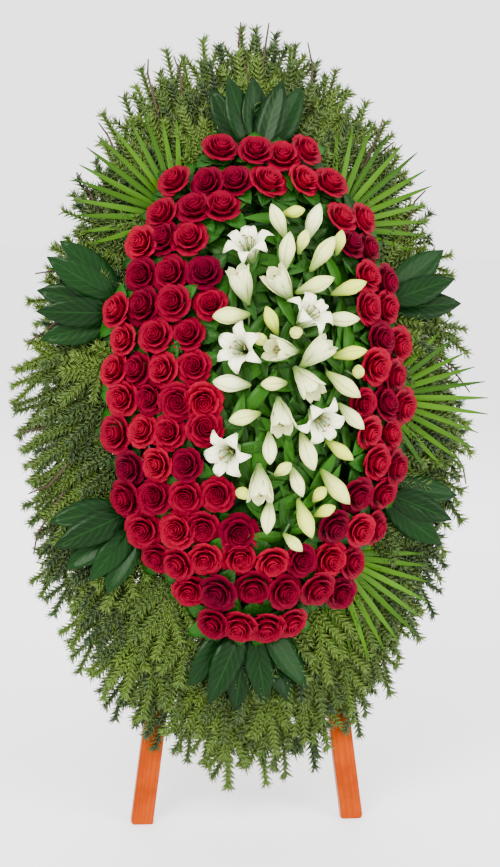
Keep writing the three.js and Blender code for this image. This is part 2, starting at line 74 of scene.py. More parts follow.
def smooth(low, high, value):
    part = np.clip((value - low) / (high - low), 0, 1)
    return part * part * (3 - 2 * part)


toneCount = 8  # each copy's map sits in one cell of a square of this many by this many
cellMargin = 0.04  # left free round the map inside its cell
fullTurn = 6.28  # radians, for random headings


def deselectAll():
    if bpy.context.object and bpy.context.object.mode != "OBJECT":
        bpy.ops.object.mode_set(mode="OBJECT")
    bpy.ops.object.select_all(action="DESELECT")


def addSheet(across, along):  # flat, x -1..1 and y -1..1
    deselectAll()
    bpy.ops.mesh.primitive_grid_add(x_subdivisions=across, y_subdivisions=along, size=2)
    return bpy.context.object


def bend(sheet, shape):  # shape(s, t) gives x, y, z, with s -1..1 across and t 0..1 along
    count = len(sheet.data.vertices)
    co = np.zeros(count * 3)
    sheet.data.vertices.foreach_get("co", co)
    co = co.reshape(-1, 3)
    bent = [np.broadcast_to(part, count) for part in shape(co[:, 0], (co[:, 1] + 1) / 2)]
    sheet.data.vertices.foreach_set("co", np.stack(bent, axis=1).ravel())
    sheet.data.update()


def thicken(sheet, thickness):
    deselectAll()
    sheet.select_set(True)
    bpy.context.view_layer.objects.active = sheet
    wall = sheet.modifiers.new("wall", "SOLIDIFY")
    wall.thickness = thickness
    wall.offset = 0
    bpy.ops.object.modifier_apply(modifier=wall.name)


def readValues(collection, name, kind, width=1):
    values = np.zeros(len(collection) * width, kind)
    collection.foreach_get(name, values)
    return values.reshape(-1, width) if width > 1 else values


def takeMaster(piece, slot=0):  # reads a finished shape for copying, and clears it away
    mesh = piece.data
    loops = len(mesh.loops)
    master = {
        "co": readValues(mesh.vertices, "co", np.float64, 3),
        "corners": readValues(mesh.loops, "vertex_index", np.int32),
        "starts": readValues(mesh.polygons, "loop_start", np.int32),
        "slots": np.full(len(mesh.polygons), slot, np.int32),
        "uv": readValues(mesh.uv_layers[0].data, "uv", np.float64, 2),
        "rank": np.zeros(loops),
        "tone": np.zeros(loops),
    }
    bpy.data.objects.remove(piece)
    return master


def copyOf(master, matrix, rank=None, tone=None):
    return (master, matrix, rank, tone)


def gather(copies):  # many placed copies in one shape
    parts = {key: [] for key in ("co", "corners", "starts", "slots", "uv", "rank", "tone")}
    vertexCount = loopCount = 0
    for master, matrix, rank, tone in copies:
        place = np.array(matrix)
        loops = len(master["corners"])
        parts["co"].append(master["co"] @ place[:3, :3].T + place[:3, 3])
        parts["corners"].append(master["corners"] + vertexCount)
        parts["starts"].append(master["starts"] + loopCount)
        parts["slots"].append(master["slots"])
        parts["uv"].append(master["uv"])
        parts["rank"].append(master["rank"] if rank is None else np.full(loops, rank))
        parts["tone"].append(master["tone"] if tone is None else np.full(loops, tone))
        vertexCount += len(master["co"])
        loopCount += loops
    return {key: np.concatenate(values) for key, values in parts.items()}


def makePiece(name, shape, materials, replaced):
    mesh = bpy.data.meshes.new(name)
    place = np.array(plane)
    mesh.vertices.add(len(shape["co"]))
    mesh.loops.add(len(shape["corners"]))
    mesh.polygons.add(len(shape["starts"]))
    mesh.vertices.foreach_set("co", (shape["co"] @ place[:3, :3].T + place[:3, 3]).ravel())
    mesh.loops.foreach_set("vertex_index", shape["corners"].astype(np.int32))
    mesh.polygons.foreach_set("loop_start", shape["starts"].astype(np.int32))
    mesh.polygons.foreach_set("material_index", shape["slots"].astype(np.int32))
    mesh.update(calc_edges=True)
    cells = np.stack([shape["rank"], shape["tone"]], axis=1)
    layer = mesh.uv_layers.new(name="OFBake")
    inCell = cells + cellMargin + (1 - 2 * cellMargin) * shape["uv"]
    layer.data.foreach_set("uv", (inCell / toneCount).ravel())
    for material in materials:
        mesh.materials.append(material)
    piece = bpy.data.objects.new(name, mesh)
    bpy.context.collection.objects.link(piece)
    deselectAll()
    piece.select_set(True)
    bpy.context.view_layer.objects.active = piece
    bpy.ops.object.shade_smooth()
    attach(piece, wreathBody)
    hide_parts(*replaced)
    print(name, sum(len(face.vertices) - 2 for face in mesh.polygons), "triangles")


def placed(origin, side, up, front, size=(1, 1, 1)):
    matrix = Matrix.Identity(4)
    for column, axis in enumerate((side, up, front)):
        for row in range(3):
            matrix[row][column] = axis[row] * size[column]
    matrix.translation = origin
    return matrix


def lying(origin, direction, facing, size=(1, 1, 1)):  # +Y along the direction, +Z towards facing
    up = direction.normalized()
    side = up.cross(facing).normalized()
    return placed(origin, side, up, side.cross(up), size)


def upright(origin, axis, spin=0, size=(1, 1, 1)):  # +Z along the axis
    turn = axis.to_track_quat("Z", "Y").to_matrix().to_4x4()
    return Matrix.Translation(origin) @ turn @ Matrix.Rotation(spin, 4, "Z") @ Matrix.Diagonal((*size, 1))


def shaken(first, second, size, z):  # a heading or a step with two small changes in it
    return Vector((scatter(first, size), scatter(second, size), z))


def rodBetween(master, start, end, radius, rank=0, tone=0):
    along = end - start
    matrix = upright(start, along, 0, (radius, radius, along.length))
    return copyOf(master, matrix, rank, tone)


def makeCone(sides, slot, foot, top, length, middle):  # upright, its middle at that height
    deselectAll()
    bpy.ops.mesh.primitive_cone_add(
        vertices=sides, radius1=foot, radius2=top, depth=length, location=(0, 0, middle)
    )
    bpy.ops.object.transform_apply(location=True)
    return takeMaster(bpy.context.object, slot)


def makeRod(sides, slot, taper=1.0):  # one long, radius one, from z 0 to 1
    return makeCone(sides, slot, 1, taper, 1, 0.5)


def startMaterial(name):
    material = bpy.data.materials.new(name)
    material.use_nodes = True
    tree = material.node_tree
    return material, tree, tree.nodes["Principled BSDF"]


def addNode(tree, kind, inputs=None, **settings):
    node = tree.nodes.new(kind)
    for key, value in settings.items():
        setattr(node, key, value)
    for key, value in (inputs or {}).items():
        if isinstance(value, bpy.types.NodeSocket):
            tree.links.new(value, node.inputs[key])
        else:
            node.inputs[key].default_value = value
    return node


def mathOf(tree, operation, *values):
    return addNode(tree, "ShaderNodeMath", dict(enumerate(values)), operation=operation).outputs[0]


def mixOf(tree, factor, first, second, blend="MIX"):
    inputs = {0: factor, 6: first, 7: second}
    return addNode(tree, "ShaderNodeMix", inputs, data_type="RGBA", blend_type=blend).outputs[2]


def spread(tree, value, fromLow, fromHigh, toLow=0.0, toHigh=1.0):
    inputs = {0: value, 1: fromLow, 2: fromHigh, 3: toLow, 4: toHigh}
    return addNode(tree, "ShaderNodeMapRange", inputs, interpolation_type="SMOOTHSTEP").outputs[0]


def noiseOf(tree, vector, scale, detail=3.0, roughness=0.55):
    inputs = {"Vector": vector, "Scale": scale, "Detail": detail, "Roughness": roughness}
    return addNode(tree, "ShaderNodeTexNoise", inputs).outputs[0]


def bumpOf(tree, height, strength, distance):
    inputs = {"Height": height, "Strength": strength, "Distance": distance}
    return addNode(tree, "ShaderNodeBump", inputs).outputs[0]


def objectPlace(tree, turn=(0, 0, 0), scale=(1, 1, 1)):
    place = addNode(tree, "ShaderNodeTexCoord").outputs["Object"]
    turn = [math.radians(angle) for angle in turn]
    return addNode(tree, "ShaderNodeMapping", {"Vector": place, "Rotation": turn, "Scale": scale}).outputs[0]


def join(tree, shader, colour, roughness, normal):
    for label, socket in (("Base Color", colour), ("Roughness", roughness), ("Normal", normal)):
        tree.links.new(socket, shader.inputs[label])


def roughnessOf(tree, value, middle, below, above):
    return spread(tree, value, 0.2, 0.8, middle - below, middle + above)


def dimmed(tree, colour, shade):
    grey = addNode(tree, "ShaderNodeCombineColor", {0: shade, 1: shade, 2: shade}).outputs[0]
    return mixOf(tree, 1.0, colour, grey, "MULTIPLY")


def linear(red, green, blue):  # from everyday 0-255 values
    parts = [((v / 255 + 0.055) / 1.055) ** 2.4 if v > 10 else v / 3294.6 for v in (red, green, blue)]
    return (*parts, 1)


def startGroup(name, inputs, outputs):  # an input without a number is a place
    group = bpy.data.node_groups.new(name, "ShaderNodeTree")
    for label, value in inputs.items():
        kind = "NodeSocketVector" if value is None else "NodeSocketFloat"
        socket = group.interface.new_socket(label, in_out="INPUT", socket_type=kind)
        if value is not None:
            socket.default_value = value
    for label in outputs:
        group.interface.new_socket(label, in_out="OUTPUT", socket_type="NodeSocketFloat")
    return group, addNode(group, "NodeGroupInput").outputs, addNode(group, "NodeGroupOutput")


def useGroup(tree, group, inputs):
    return addNode(tree, "ShaderNodeGroup", inputs, node_tree=group).outputs


def finishGroup(group, output, results):
    for label, socket in results.items():
        group.links.new(socket, output.inputs[label])
    return group


# What a cell of the map says: which petal or leaf of a plant, how light the plant is, and the place on it.
def makeCellGroup():
    group, given, out = startGroup("cellsOfTheMap", {"Map": None}, ["Rank", "Tone", "Across", "Along"])
    parts = addNode(group, "ShaderNodeSeparateXYZ", {0: given["Map"]}).outputs
    found = {}
    for label, inside, part in (("Rank", "Across", parts[0]), ("Tone", "Along", parts[1])):
        scaled = mathOf(group, "MULTIPLY", part, float(toneCount))
        whole = mathOf(group, "FLOOR", scaled)
        found[label] = mathOf(group, "DIVIDE", whole, toneCount - 1.0)
        found[inside] = mathOf(group, "SUBTRACT", scaled, whole)
    return finishGroup(group, out, found)


# Streaks that run along a petal or blade, finer across than along.
def makeStreakGroup():
    inputs = {"Across": 0.5, "Along": 0.5, "Seed": 0.0, "Fineness": 20.0, "Stretch": 2.0}
    group, given, out = startGroup("streaksAlong", inputs, ["Streaks"])
    across = mathOf(group, "MULTIPLY", given["Across"], given["Fineness"])
    along = mathOf(group, "MULTIPLY", given["Along"], given["Stretch"])
    vector = addNode(group, "ShaderNodeCombineXYZ", {0: across, 1: along, 2: given["Seed"]}).outputs[0]
    return finishGroup(group, out, {"Streaks": noiseOf(group, vector, 1.0, 4.0, 0.6)})


# Midrib and side veins of a leaf.
def makeVeinGroup():
    inputs = {"Across": 0.5, "Along": 0.5, "Pairs": 9.0, "Slant": 0.5, "Midrib": 0.035}
    group, given, out = startGroup("leafVeins", inputs, ["Veins", "Blade"])
    fromMiddle = mathOf(group, "ABSOLUTE", mathOf(group, "SUBTRACT", given["Across"], 0.5))
    ribRange = {0: fromMiddle, 1: given["Midrib"], 2: 0.0, 3: 0.0, 4: 1.0}
    rib = addNode(group, "ShaderNodeMapRange", ribRange).outputs[0]
    slant = mathOf(group, "MULTIPLY", fromMiddle, given["Slant"])
    slanted = mathOf(group, "SUBTRACT", given["Along"], slant)
    wave = mathOf(group, "FRACT", mathOf(group, "MULTIPLY", slanted, given["Pairs"]))
    toLine = mathOf(group, "ABSOLUTE", mathOf(group, "SUBTRACT", wave, 0.5))
    lines = spread(group, toLine, 0.1, 0.0, 0.0, 0.7)
    veins = mathOf(group, "MAXIMUM", rib, lines)
    blade = spread(group, toLine, 0.0, 0.35)
    return finishGroup(group, out, {"Veins": veins, "Blade": blade})


# Long timber grain along Z, with rings that wander and fine pores.
def makeGrainGroup():
    group, given, out = startGroup("timberGrain", {"Place": None, "Rings": 60.0}, ["Rings", "Fibres"])
    long = addNode(group, "ShaderNodeMapping", {"Vector": given["Place"], "Scale": (1, 1, 0.06)}).outputs[0]
    wander = noiseOf(group, long, 9.0, 2.0)
    parts = addNode(group, "ShaderNodeSeparateXYZ", {0: long}).outputs
    offset = mathOf(group, "MULTIPLY", wander, 0.09)
    slanted = mathOf(group, "ADD", parts[0], mathOf(group, "MULTIPLY", parts[1], 0.35))
    level = mathOf(group, "ADD", slanted, offset)
    rings = mathOf(group, "FRACT", mathOf(group, "MULTIPLY", level, given["Rings"]))
    ringEdge = mathOf(group, "MULTIPLY", spread(group, rings, 0.1, 0.75), spread(group, rings, 1.0, 0.78))
    fine = addNode(group, "ShaderNodeMapping", {"Vector": given["Place"], "Scale": (1, 1, 0.03)}).outputs[0]
    return finishGroup(group, out, {"Rings": ringEdge, "Fibres": noiseOf(group, fine, 700.0, 3.0, 0.7)})


cellGroup = makeCellGroup()
streakGroup = makeStreakGroup()
veinGroup = makeVeinGroup()
grainGroup = makeGrainGroup()


def readCells(tree):
    place = addNode(tree, "ShaderNodeUVMap", uv_map="OFBake").outputs[0]
    return useGroup(tree, cellGroup, {"Map": place})


def streaksOf(tree, cells, fineness, stretch):
    seed = mathOf(tree, "MULTIPLY", mathOf(tree, "ADD", cells["Tone"], cells["Rank"]), 17.0)
    inputs = {"Across": cells["Across"], "Along": cells["Along"], "Seed": seed,
              "Fineness": fineness, "Stretch": stretch}
    return useGroup(tree, streakGroup, inputs)["Streaks"]


print("groups made")


rosePetalLook = {
    "bright": linear(132, 0, 32), "dark": linear(78, 0, 24),
    # paintedShade is painted shade, laid on the foot of every petal, down in the bloom's recess.
    # rim is a painted highlight: a lighter, pinker red along the petal rims.
    "paintedShade": linear(26, 0, 7), "rim": linear(152, 4, 46),
    "roughness": 0.58, "fineness": 26.0, "stretch": 3.0, "bump": 0.35, "bumpHeight": 0.0006,
    "sheen": 0.12, "sheenRoughness": 0.4, "sheenTint": linear(230, 30, 80),
    "specular": 0.2, "specularTint": linear(255, 70, 110),
}
lilyPetalLook = {
    "cream": linear(206, 216, 52), "white": linear(254, 254, 216), "green": linear(88, 128, 6),
    "seam": linear(136, 156, 48), "seamStrength": 0.6,
    "roughness": 0.42, "fineness": 30.0, "stretch": 2.5, "bump": 0.3, "bumpHeight": 0.0007, "sheen": 0.08,
}
leafSurface = {
    "fineness": 14.0, "stretch": 5.0, "bump": 0.4, "bumpHeight": 0.0008, "veinStrength": 0.55,
    "coatRoughness": 0.15, "specularTint": linear(190, 255, 160),
}
leafLooks = {
    "laurel": {"dark": linear(3, 19, 5), "light": linear(7, 34, 9), "vein": linear(26, 62, 22),
               "roughness": 0.34, "pairs": 9.0, "slant": 0.55, "coat": 0.08, "specular": 0.1},
    "rose": {"dark": linear(5, 26, 4), "light": linear(22, 68, 8), "vein": linear(46, 92, 20),
             "roughness": 0.42, "pairs": 7.0, "slant": 0.5, "coat": 0.02, "specular": 0.22},
    "lily": {"dark": linear(5, 28, 5), "light": linear(32, 76, 8), "vein": linear(56, 94, 20),
             "roughness": 0.36, "pairs": 0.001, "slant": 0.0, "coat": 0.02, "specular": 0.22},
    "palm": {"dark": linear(26, 54, 3), "light": linear(58, 96, 6), "vein": linear(80, 112, 12),
             "roughness": 0.38, "pairs": 0.001, "slant": 0.0, "coat": 0.02, "specular": 0.22},
}


def makeRosePetalMaterial():
    look = rosePetalLook
    material, tree, shader = startMaterial("roseRedVelvet")
    cells = readCells(tree)
    base = mixOf(tree, cells["Tone"], look["dark"], look["bright"])
    # Painted shade: each petal darkens towards paintedShade near its foot, deep inside the bloom.
    base = mixOf(tree, spread(tree, cells["Along"], 0.6, 0.05), base, look["paintedShade"])
    # Painted highlight: the last tenth of each petal, at its rim, is mixed towards the lighter rim colour.
    rim = spread(tree, cells["Along"], 0.9, 1.0, 0.0, 0.25)
    base = mixOf(tree, rim, base, look["rim"])
    streaks = streaksOf(tree, cells, look["fineness"], look["stretch"])
    colour = dimmed(tree, base, spread(tree, streaks, 0.3, 0.7, 0.72, 1.08))
    roughness = roughnessOf(tree, streaks, look["roughness"], 0.08, 0.12)
    join(tree, shader, colour, roughness, bumpOf(tree, streaks, look["bump"], look["bumpHeight"]))
    shader.inputs["Sheen Weight"].default_value = look["sheen"]
    shader.inputs["Sheen Roughness"].default_value = look["sheenRoughness"]
    shader.inputs["Sheen Tint"].default_value = look["sheenTint"]
    shader.inputs["Specular IOR Level"].default_value = look["specular"]
    shader.inputs["Specular Tint"].default_value = look["specularTint"]
    return material


def makeLilyPetalMaterial():
    look = lilyPetalLook
    material, tree, shader = startMaterial("lilyCream")
    cells = readCells(tree)
    streaks = streaksOf(tree, cells, look["fineness"], look["stretch"])
    base = mixOf(tree, mathOf(tree, "POWER", cells["Tone"], 1.4), look["cream"], look["white"])
    third = mathOf(tree, "FRACT", mathOf(tree, "MULTIPLY", cells["Across"], 3.0))
    fromSeam = mathOf(tree, "ABSOLUTE", mathOf(tree, "SUBTRACT", third, 0.5))
    base = mixOf(tree, spread(tree, fromSeam, 0.07, 0.01, 0.0, look["seamStrength"]), base, look["seam"])
    foot = spread(tree, cells["Along"], 0.62, 0.08, 0.0, 1.0)
    tip = spread(tree, cells["Along"], 0.8, 1.0, 0.0, 0.7)
    ends = mathOf(tree, "MAXIMUM", foot, tip)
    green = mathOf(tree, "MULTIPLY", ends, spread(tree, streaks, 0.25, 0.6, 0.7, 1.0))
    base = mixOf(tree, green, base, look["green"])
    colour = dimmed(tree, base, spread(tree, streaks, 0.25, 0.75, 0.9, 1.0))
    roughness = roughnessOf(tree, streaks, look["roughness"], 0.06, 0.1)
    join(tree, shader, colour, roughness, bumpOf(tree, streaks, look["bump"], look["bumpHeight"]))
    shader.inputs["Sheen Weight"].default_value = look["sheen"]
    return material


def makeLeafMaterial(kind):
    look = leafLooks[kind]
    material, tree, shader = startMaterial(kind + "Leaf")
    cells = readCells(tree)
    inputs = {"Across": cells["Across"], "Along": cells["Along"],
              "Pairs": look["pairs"], "Slant": look["slant"]}
    veins = useGroup(tree, veinGroup, inputs)
    streaks = streaksOf(tree, cells, leafSurface["fineness"], leafSurface["stretch"])
    base = mixOf(tree, cells["Tone"], look["dark"], look["light"])
    base = mixOf(tree, spread(tree, streaks, 0.35, 0.8, 0.0, 0.35), base, look["light"])
    drawn = mathOf(tree, "MULTIPLY", veins["Veins"], leafSurface["veinStrength"])
    base = mixOf(tree, drawn, base, look["vein"])
    roughness = roughnessOf(tree, streaks, look["roughness"], 0.06, 0.1)
    blade = mathOf(tree, "MULTIPLY", veins["Blade"], 0.7)
    height = mathOf(tree, "ADD", blade, mathOf(tree, "MULTIPLY", streaks, 0.3))
    join(tree, shader, base, roughness, bumpOf(tree, height, leafSurface["bump"], leafSurface["bumpHeight"]))
    shader.inputs["Coat Weight"].default_value = look["coat"]
    shader.inputs["Specular IOR Level"].default_value = look["specular"]
    shader.inputs["Specular Tint"].default_value = leafSurface["specularTint"]
    shader.inputs["Coat Roughness"].default_value = leafSurface["coatRoughness"]
    return material


rosePetalMaterial = makeRosePetalMaterial()
lilyPetalMaterial = makeLilyPetalMaterial()
laurelMaterial = makeLeafMaterial("laurel")
roseLeafMaterial = makeLeafMaterial("rose")
lilyLeafMaterial = makeLeafMaterial("lily")
palmMaterial = makeLeafMaterial("palm")


def makeStalkMaterial(name, dark, light, roughness):  # green stems, twigs, stamens
    material, tree, shader = startMaterial(name)
    cells = readCells(tree)
    streaks = streaksOf(tree, cells, 8.0, 9.0)
    base = mixOf(tree, spread(tree, streaks, 0.3, 0.7), dark, light)
    rough = roughnessOf(tree, streaks, roughness, 0.1, 0.1)
    join(tree, shader, base, rough, bumpOf(tree, streaks, 0.5, 0.0006))
    return material


stemMaterial = makeStalkMaterial("stemGreen", linear(38, 73, 26), linear(79, 110, 46), 0.5)
barkMaterial = makeStalkMaterial("twigBark", linear(73, 41, 17), linear(132, 85, 39), 0.75)
deadTwigMaterial = makeStalkMaterial("bareTwig", linear(31, 19, 12), linear(69, 46, 31), 0.85)
pollenMaterial = makeStalkMaterial("pollen", linear(95, 73, 20), linear(130, 111, 42), 0.9)


bed = {"y": 812, "halfWidth": 285, "halfHeight": 462, "rim": 114, "crown": 224, "power": 2.4, "splay": 1.2}
roseRows = {"rows": 16, "rowPitch": 58, "columnPitch": 62, "crowding": 2.3, "shift": 0.22, "bend": 0.95,
            "wander": 8, "head": 31, "smallest": 23}
lilyRows = {"x": 44, "y": 27, "halfWidth": 138, "halfHeight": 312, "rowPitch": 60, "columnPitch": 68,
            "shift": 0.14, "swing": 70, "turnStep": 30, "tries": 12, "flowerEvery": 6,
            "clearance": 2, "clearanceInBunch": -3}
smallBuds = {"tries": 90, "across": 0.98, "firstSeed": 900}
lilyForms = {
    "bud": {"length": 90, "radius": 17.5, "rise": 34, "swell": (0.55, 0.92, 1, 0.85, 0.5)},
    "flower": {"length": 70, "radius": 36, "rise": 62, "swell": (0.2, 0.3, 0.4, 0.6, 0.95)},
    "small": {"length": 52, "radius": 11.5, "rise": 48, "swell": (0.55, 0.92, 1, 0.85, 0.5)},
}


def onDome(x, y):  # the place and the outward direction on the domed bed
    across, along = x / bed["halfWidth"], y / bed["halfHeight"]
    share = min(math.hypot(across, along), 1.1)
    fall = bed["crown"] - bed["rim"]
    slope = bed["splay"] * bed["power"] * fall * share ** (bed["power"] - 2)
    point = Vector((x, bed["y"] + y, bed["rim"] + fall * (1 - share ** bed["power"])))
    outward = Vector((slope * across / bed["halfWidth"], slope * along / bed["halfHeight"], 1))
    return point, outward.normalized()


def roomBetween(one, other):
    return min((a - b).length - ra - rb for a, ra in one for b, rb in other)


def lilyAt(x, y, heading, kind):
    form = lilyForms[kind]
    point, outward = onDome(x, y)
    tangent = Vector((math.cos(heading), math.sin(heading), 0))
    tangent = (tangent - tangent.dot(outward) * outward).normalized()
    rise = math.radians(form["rise"])
    axis = tangent * math.cos(rise) + outward * math.sin(rise)
    base = point - 0.5 * form["length"] * axis + 10 * outward
    balls = [
        (base + axis * form["length"] * (0.14 + 0.18 * i), form["radius"] * share)
        for i, share in enumerate(form["swell"])
    ]
    return {"point": point, "base": base, "axis": axis, "outward": outward, "kind": kind, "balls": balls}


def lilyPlaces():
    places = []
    rows = nearest(2 * lilyRows["halfHeight"] / lilyRows["rowPitch"])
    for row in range(rows):
        rise = (row - (rows - 1) / 2) * lilyRows["rowPitch"]
        reach = lilyRows["halfWidth"] * math.sqrt(max(0, 1 - (rise / lilyRows["halfHeight"]) ** 2))
        count = max(1, nearest(2 * reach / lilyRows["columnPitch"]))
        shift = lilyRows["shift"] if row % 2 else -lilyRows["shift"]
        for column in range(count):
            seed = 500 + row * 10 + column
            offset = (column - (count - 1) / 2 + shift) * lilyRows["columnPitch"]
            bunch = f"{'left' if offset < 0 else 'right'}_{3 * row // rows + 1}"
            kind = "flower" if (row * 4 + column) % lilyRows["flowerEvery"] == 2 else "bud"
            first = math.atan2(rise / 2, offset) + math.radians(lilyRows["swing"]) * (chance(seed) - 0.5)
            for turn in range(lilyRows["tries"]):
                hand = 1 if turn % 2 else -1
                heading = first + math.radians(lilyRows["turnStep"]) * math.ceil(turn / 2) * hand
                lily = lilyAt(lilyRows["x"] + offset, lilyRows["y"] + rise, heading, kind)
                rooms = [
                    roomBetween(lily["balls"], other["balls"])
                    - lilyRows["clearanceInBunch" if other["bunch"] == bunch else "clearance"]
                    for other in places
                ]
                if min(rooms, default=1) > 0:
                    places.append({**lily, "bunch": bunch, "seed": seed})
                    break
    return places


def addSmallBuds(places):  # wherever there is room left between the lilies
    for i in range(smallBuds["tries"]):
        seed = smallBuds["firstSeed"] + 3 * i
        turn, share = fullTurn * chance(seed), math.sqrt(chance(seed + 0.3))
        x = lilyRows["x"] + smallBuds["across"] * share * lilyRows["halfWidth"] * math.cos(turn)
        y = lilyRows["y"] + share * lilyRows["halfHeight"] * math.sin(turn)
        lily = lilyAt(x, y, fullTurn * chance(seed + 0.6), "small")
        if min(roomBetween(lily["balls"], other["balls"]) for other in places) > 0:
            height = (y - lilyRows["y"] + lilyRows["halfHeight"]) / (2 * lilyRows["halfHeight"])
            row = min(3, 1 + int(3 * height))
            bunch = f"{'left' if x < lilyRows['x'] else 'right'}_{row}"
            places.append({**lily, "bunch": bunch, "seed": seed})
    return places


def rosePlaces(lilies):
    places = []
    for row in range(roseRows["rows"]):
        y = (row - (roseRows["rows"] - 1) / 2) * roseRows["rowPitch"]
        reach = bed["halfWidth"] * math.sqrt(1 - (y / bed["halfHeight"]) ** 2)
        count = max(2, nearest(roseRows["crowding"] * reach / roseRows["columnPitch"]))
        shift = roseRows["shift"] if row % 2 else -roseRows["shift"]
        for column in range(count):
            seed = row * 20 + column + 1
            s = 2 * (column + 0.5 + shift) / count - 1
            evenly = reach * math.sin(roseRows["bend"] * s) / math.sin(roseRows["bend"])
            x = evenly + roseRows["wander"] * (chance(seed) - 0.5)
            point, outward = onDome(x, y + roseRows["wander"] * (chance(seed + 0.5) - 0.5))
            room = min(roomBetween([(point, 0)], lily["balls"]) for lily in lilies) - 1
            if room < roseRows["smallest"]:
                continue
            bunch = f"{'left' if x < lilyRows['x'] else 'right'}_{row // 2 + 1}"
            places.append({"point": point, "outward": outward, "bunch": bunch, "seed": seed,
                           "radius": min(roseRows["head"], room)})
    return places


def openDirections(place, length, others, wanted):  # where a leaf shows between the flowers around it
    outward, found = place["outward"], []
    for i in range(16):
        turn = 2 * math.pi * (i + chance(place["seed"])) / 16
        side = Vector((math.cos(turn), math.sin(turn), 0))
        side = (side - side.dot(outward) * outward).normalized()
        end = place["point"] + side * length
        found.append((min((end - other["point"]).length for other in others if other is not place), i, side))
    chosen = []
    for room, i, side in sorted(found, key=lambda one: -one[0]):
        if all(side.dot(other) < 0.6 for other, _ in chosen) and len(chosen) < wanted:
            chosen.append((side, room))
    return chosen


def middleOf(places):
    return sum((place["point"] for place in places), Vector()) / len(places)


def bunchesOf(places):
    bunches = {}
    for place in places:
        bunches.setdefault(place["bunch"], []).append(place)
    return bunches


lilyList = lilyPlaces()
roseList = rosePlaces(lilyList)
addSmallBuds(lilyList)
print("roses", len(roseList), "lilies", len(lilyList))


rose = {
    "petalThickness": 0.02,
    "heartTurns": 2.1,
    # count, cup radius, rim radius, rim height, half width in radians, curl, spiral
    "layers": [
        (3, 0.21, 0.23, 0.62, 1.34, 0.02, 0.20),
        (3, 0.29, 0.32, 0.60, 1.28, 0.02, 0.16),
        (3, 0.40, 0.45, 0.55, 1.24, 0.04, 0.16),
        (4, 0.60, 0.74, 0.40, 1.12, 0.10, 0.12),
        (5, 0.80, 1.02, 0.08, 0.94, 0.14, 0.10),
    ],
    "openness": (0.88, 1.0, 1.08),
    "stalk": 2.8, "wander": 6, "lean": 0.26,
    "pickLength": 60, "lowestPick": 16,  # the wired end stays clear of the board behind it
    "leafReach": 38, "leaves": 3,
    "fillers": {"count": 2, "below": 26, "size": 1.3},
    "rimFillers": {"count": 5, "below": 58, "size": 1.5}, "rimFacing": 0.93,
}


def makePetal(layer, opening):
    _, cup, rimRadius, rimHeight, halfWidth, curl, spiral = layer
    flare = (rimRadius - cup) * opening + cup
    sheet = addSheet(4, 4)

    def shape(s, t):
        belly = 0.14 + (cup - 0.14) * np.sin(np.clip(t / 0.55, 0, 1) * math.pi / 2)
        rho = belly + (flare - cup) * np.clip((t - 0.45) / 0.55, 0, 1) ** 1.5
        rho = rho + curl * smooth(0.72, 1, t) * (1.0 - 0.35 * s * s)
        rho = rho * (1 + spiral * s * (0.4 + 0.6 * t))
        rho = rho + 0.09 * cup * smooth(0.8, 1, t) * (1 - np.abs(s)) ** 2
        width = halfWidth * (0.45 + 0.55 * smooth(0, 0.5, t)) * (1 - 0.16 * t ** 4)
        z = -0.66 + (rimHeight + 0.66) * t ** 1.1
        z = z - 0.12 * s * s * t ** 2 * (0.5 + cup) - 0.9 * curl * smooth(0.8, 1, t) * (1 - 0.5 * s * s)
        return rho * np.cos(width * s), rho * np.sin(width * s), z

    bend(sheet, shape)
    thicken(sheet, rose["petalThickness"])
    return takeMaster(sheet, 0)


def makeHeart():  # the rolled petals in the middle
    sheet = addSheet(16, 3)

    def shape(s, t):
        along = (s + 1) / 2
        turn = along * rose["heartTurns"] * 2 * math.pi
        rho = (0.035 + 0.135 * along) * (0.75 + 0.25 * smooth(0, 0.6, t)) + 0.02 * smooth(0.7, 1, t)
        z = -0.2 + (0.86 + 0.05 * np.sin(turn * 1.5)) * t - 0.05 * along
        return rho * np.cos(turn), rho * np.sin(turn), z

    bend(sheet, shape)
    thicken(sheet, rose["petalThickness"] * 0.7)
    return takeMaster(sheet, 0)


def makeBloom(opening, seed):
    heart = makeHeart()
    copies = [copyOf(heart, Matrix.Identity(4), 0, 0)]
    for k, layer in enumerate(rose["layers"]):
        petal = makePetal(layer, opening)
        for i in range(layer[0]):
            turn = 2 * math.pi * (i + 0.5 * (k % 2) + 0.13 * chance(seed + 7 * k + i)) / layer[0] + 0.7 * k
            tilt = Matrix.Rotation(0.03 * k * (chance(seed + 3 * i + k) - 0.3), 4, "Y")
            copies.append(copyOf(petal, Matrix.Rotation(turn, 4, "Z") @ tilt, k + 1, 0))
    calyx = makeCone(8, 2, 0.1, 0.34, 0.3, -0.84)
    copies.append(copyOf(calyx, Matrix.Identity(4), 0, 4))
    return gather(copies)


def makeLeafShape(slot, length, halfWidth, across, along, fold, droop, thickness, wave=0.0, swell=0.45):
    sheet = addSheet(across, along)

    def shape(s, t):
        outline = np.sin(math.pi * t ** (math.log(0.5) / math.log(swell))) ** 0.85
        half = halfWidth * np.maximum(outline, 0.03)
        z = fold * np.abs(s) * half - droop * length * t * t + wave * np.sin(9 * t) * s * s * outline
        return s * half, length * t, z

    bend(sheet, shape)
    thicken(sheet, thickness)
    return takeMaster(sheet, slot)


def leafAt(leaves, number, root, direction, facing, size, toneSeed):
    stand = lying(root, direction, facing, (size, size, size))
    return copyOf(leaves[number % 2], stand, number % 4, int(8 * chance(toneSeed)))


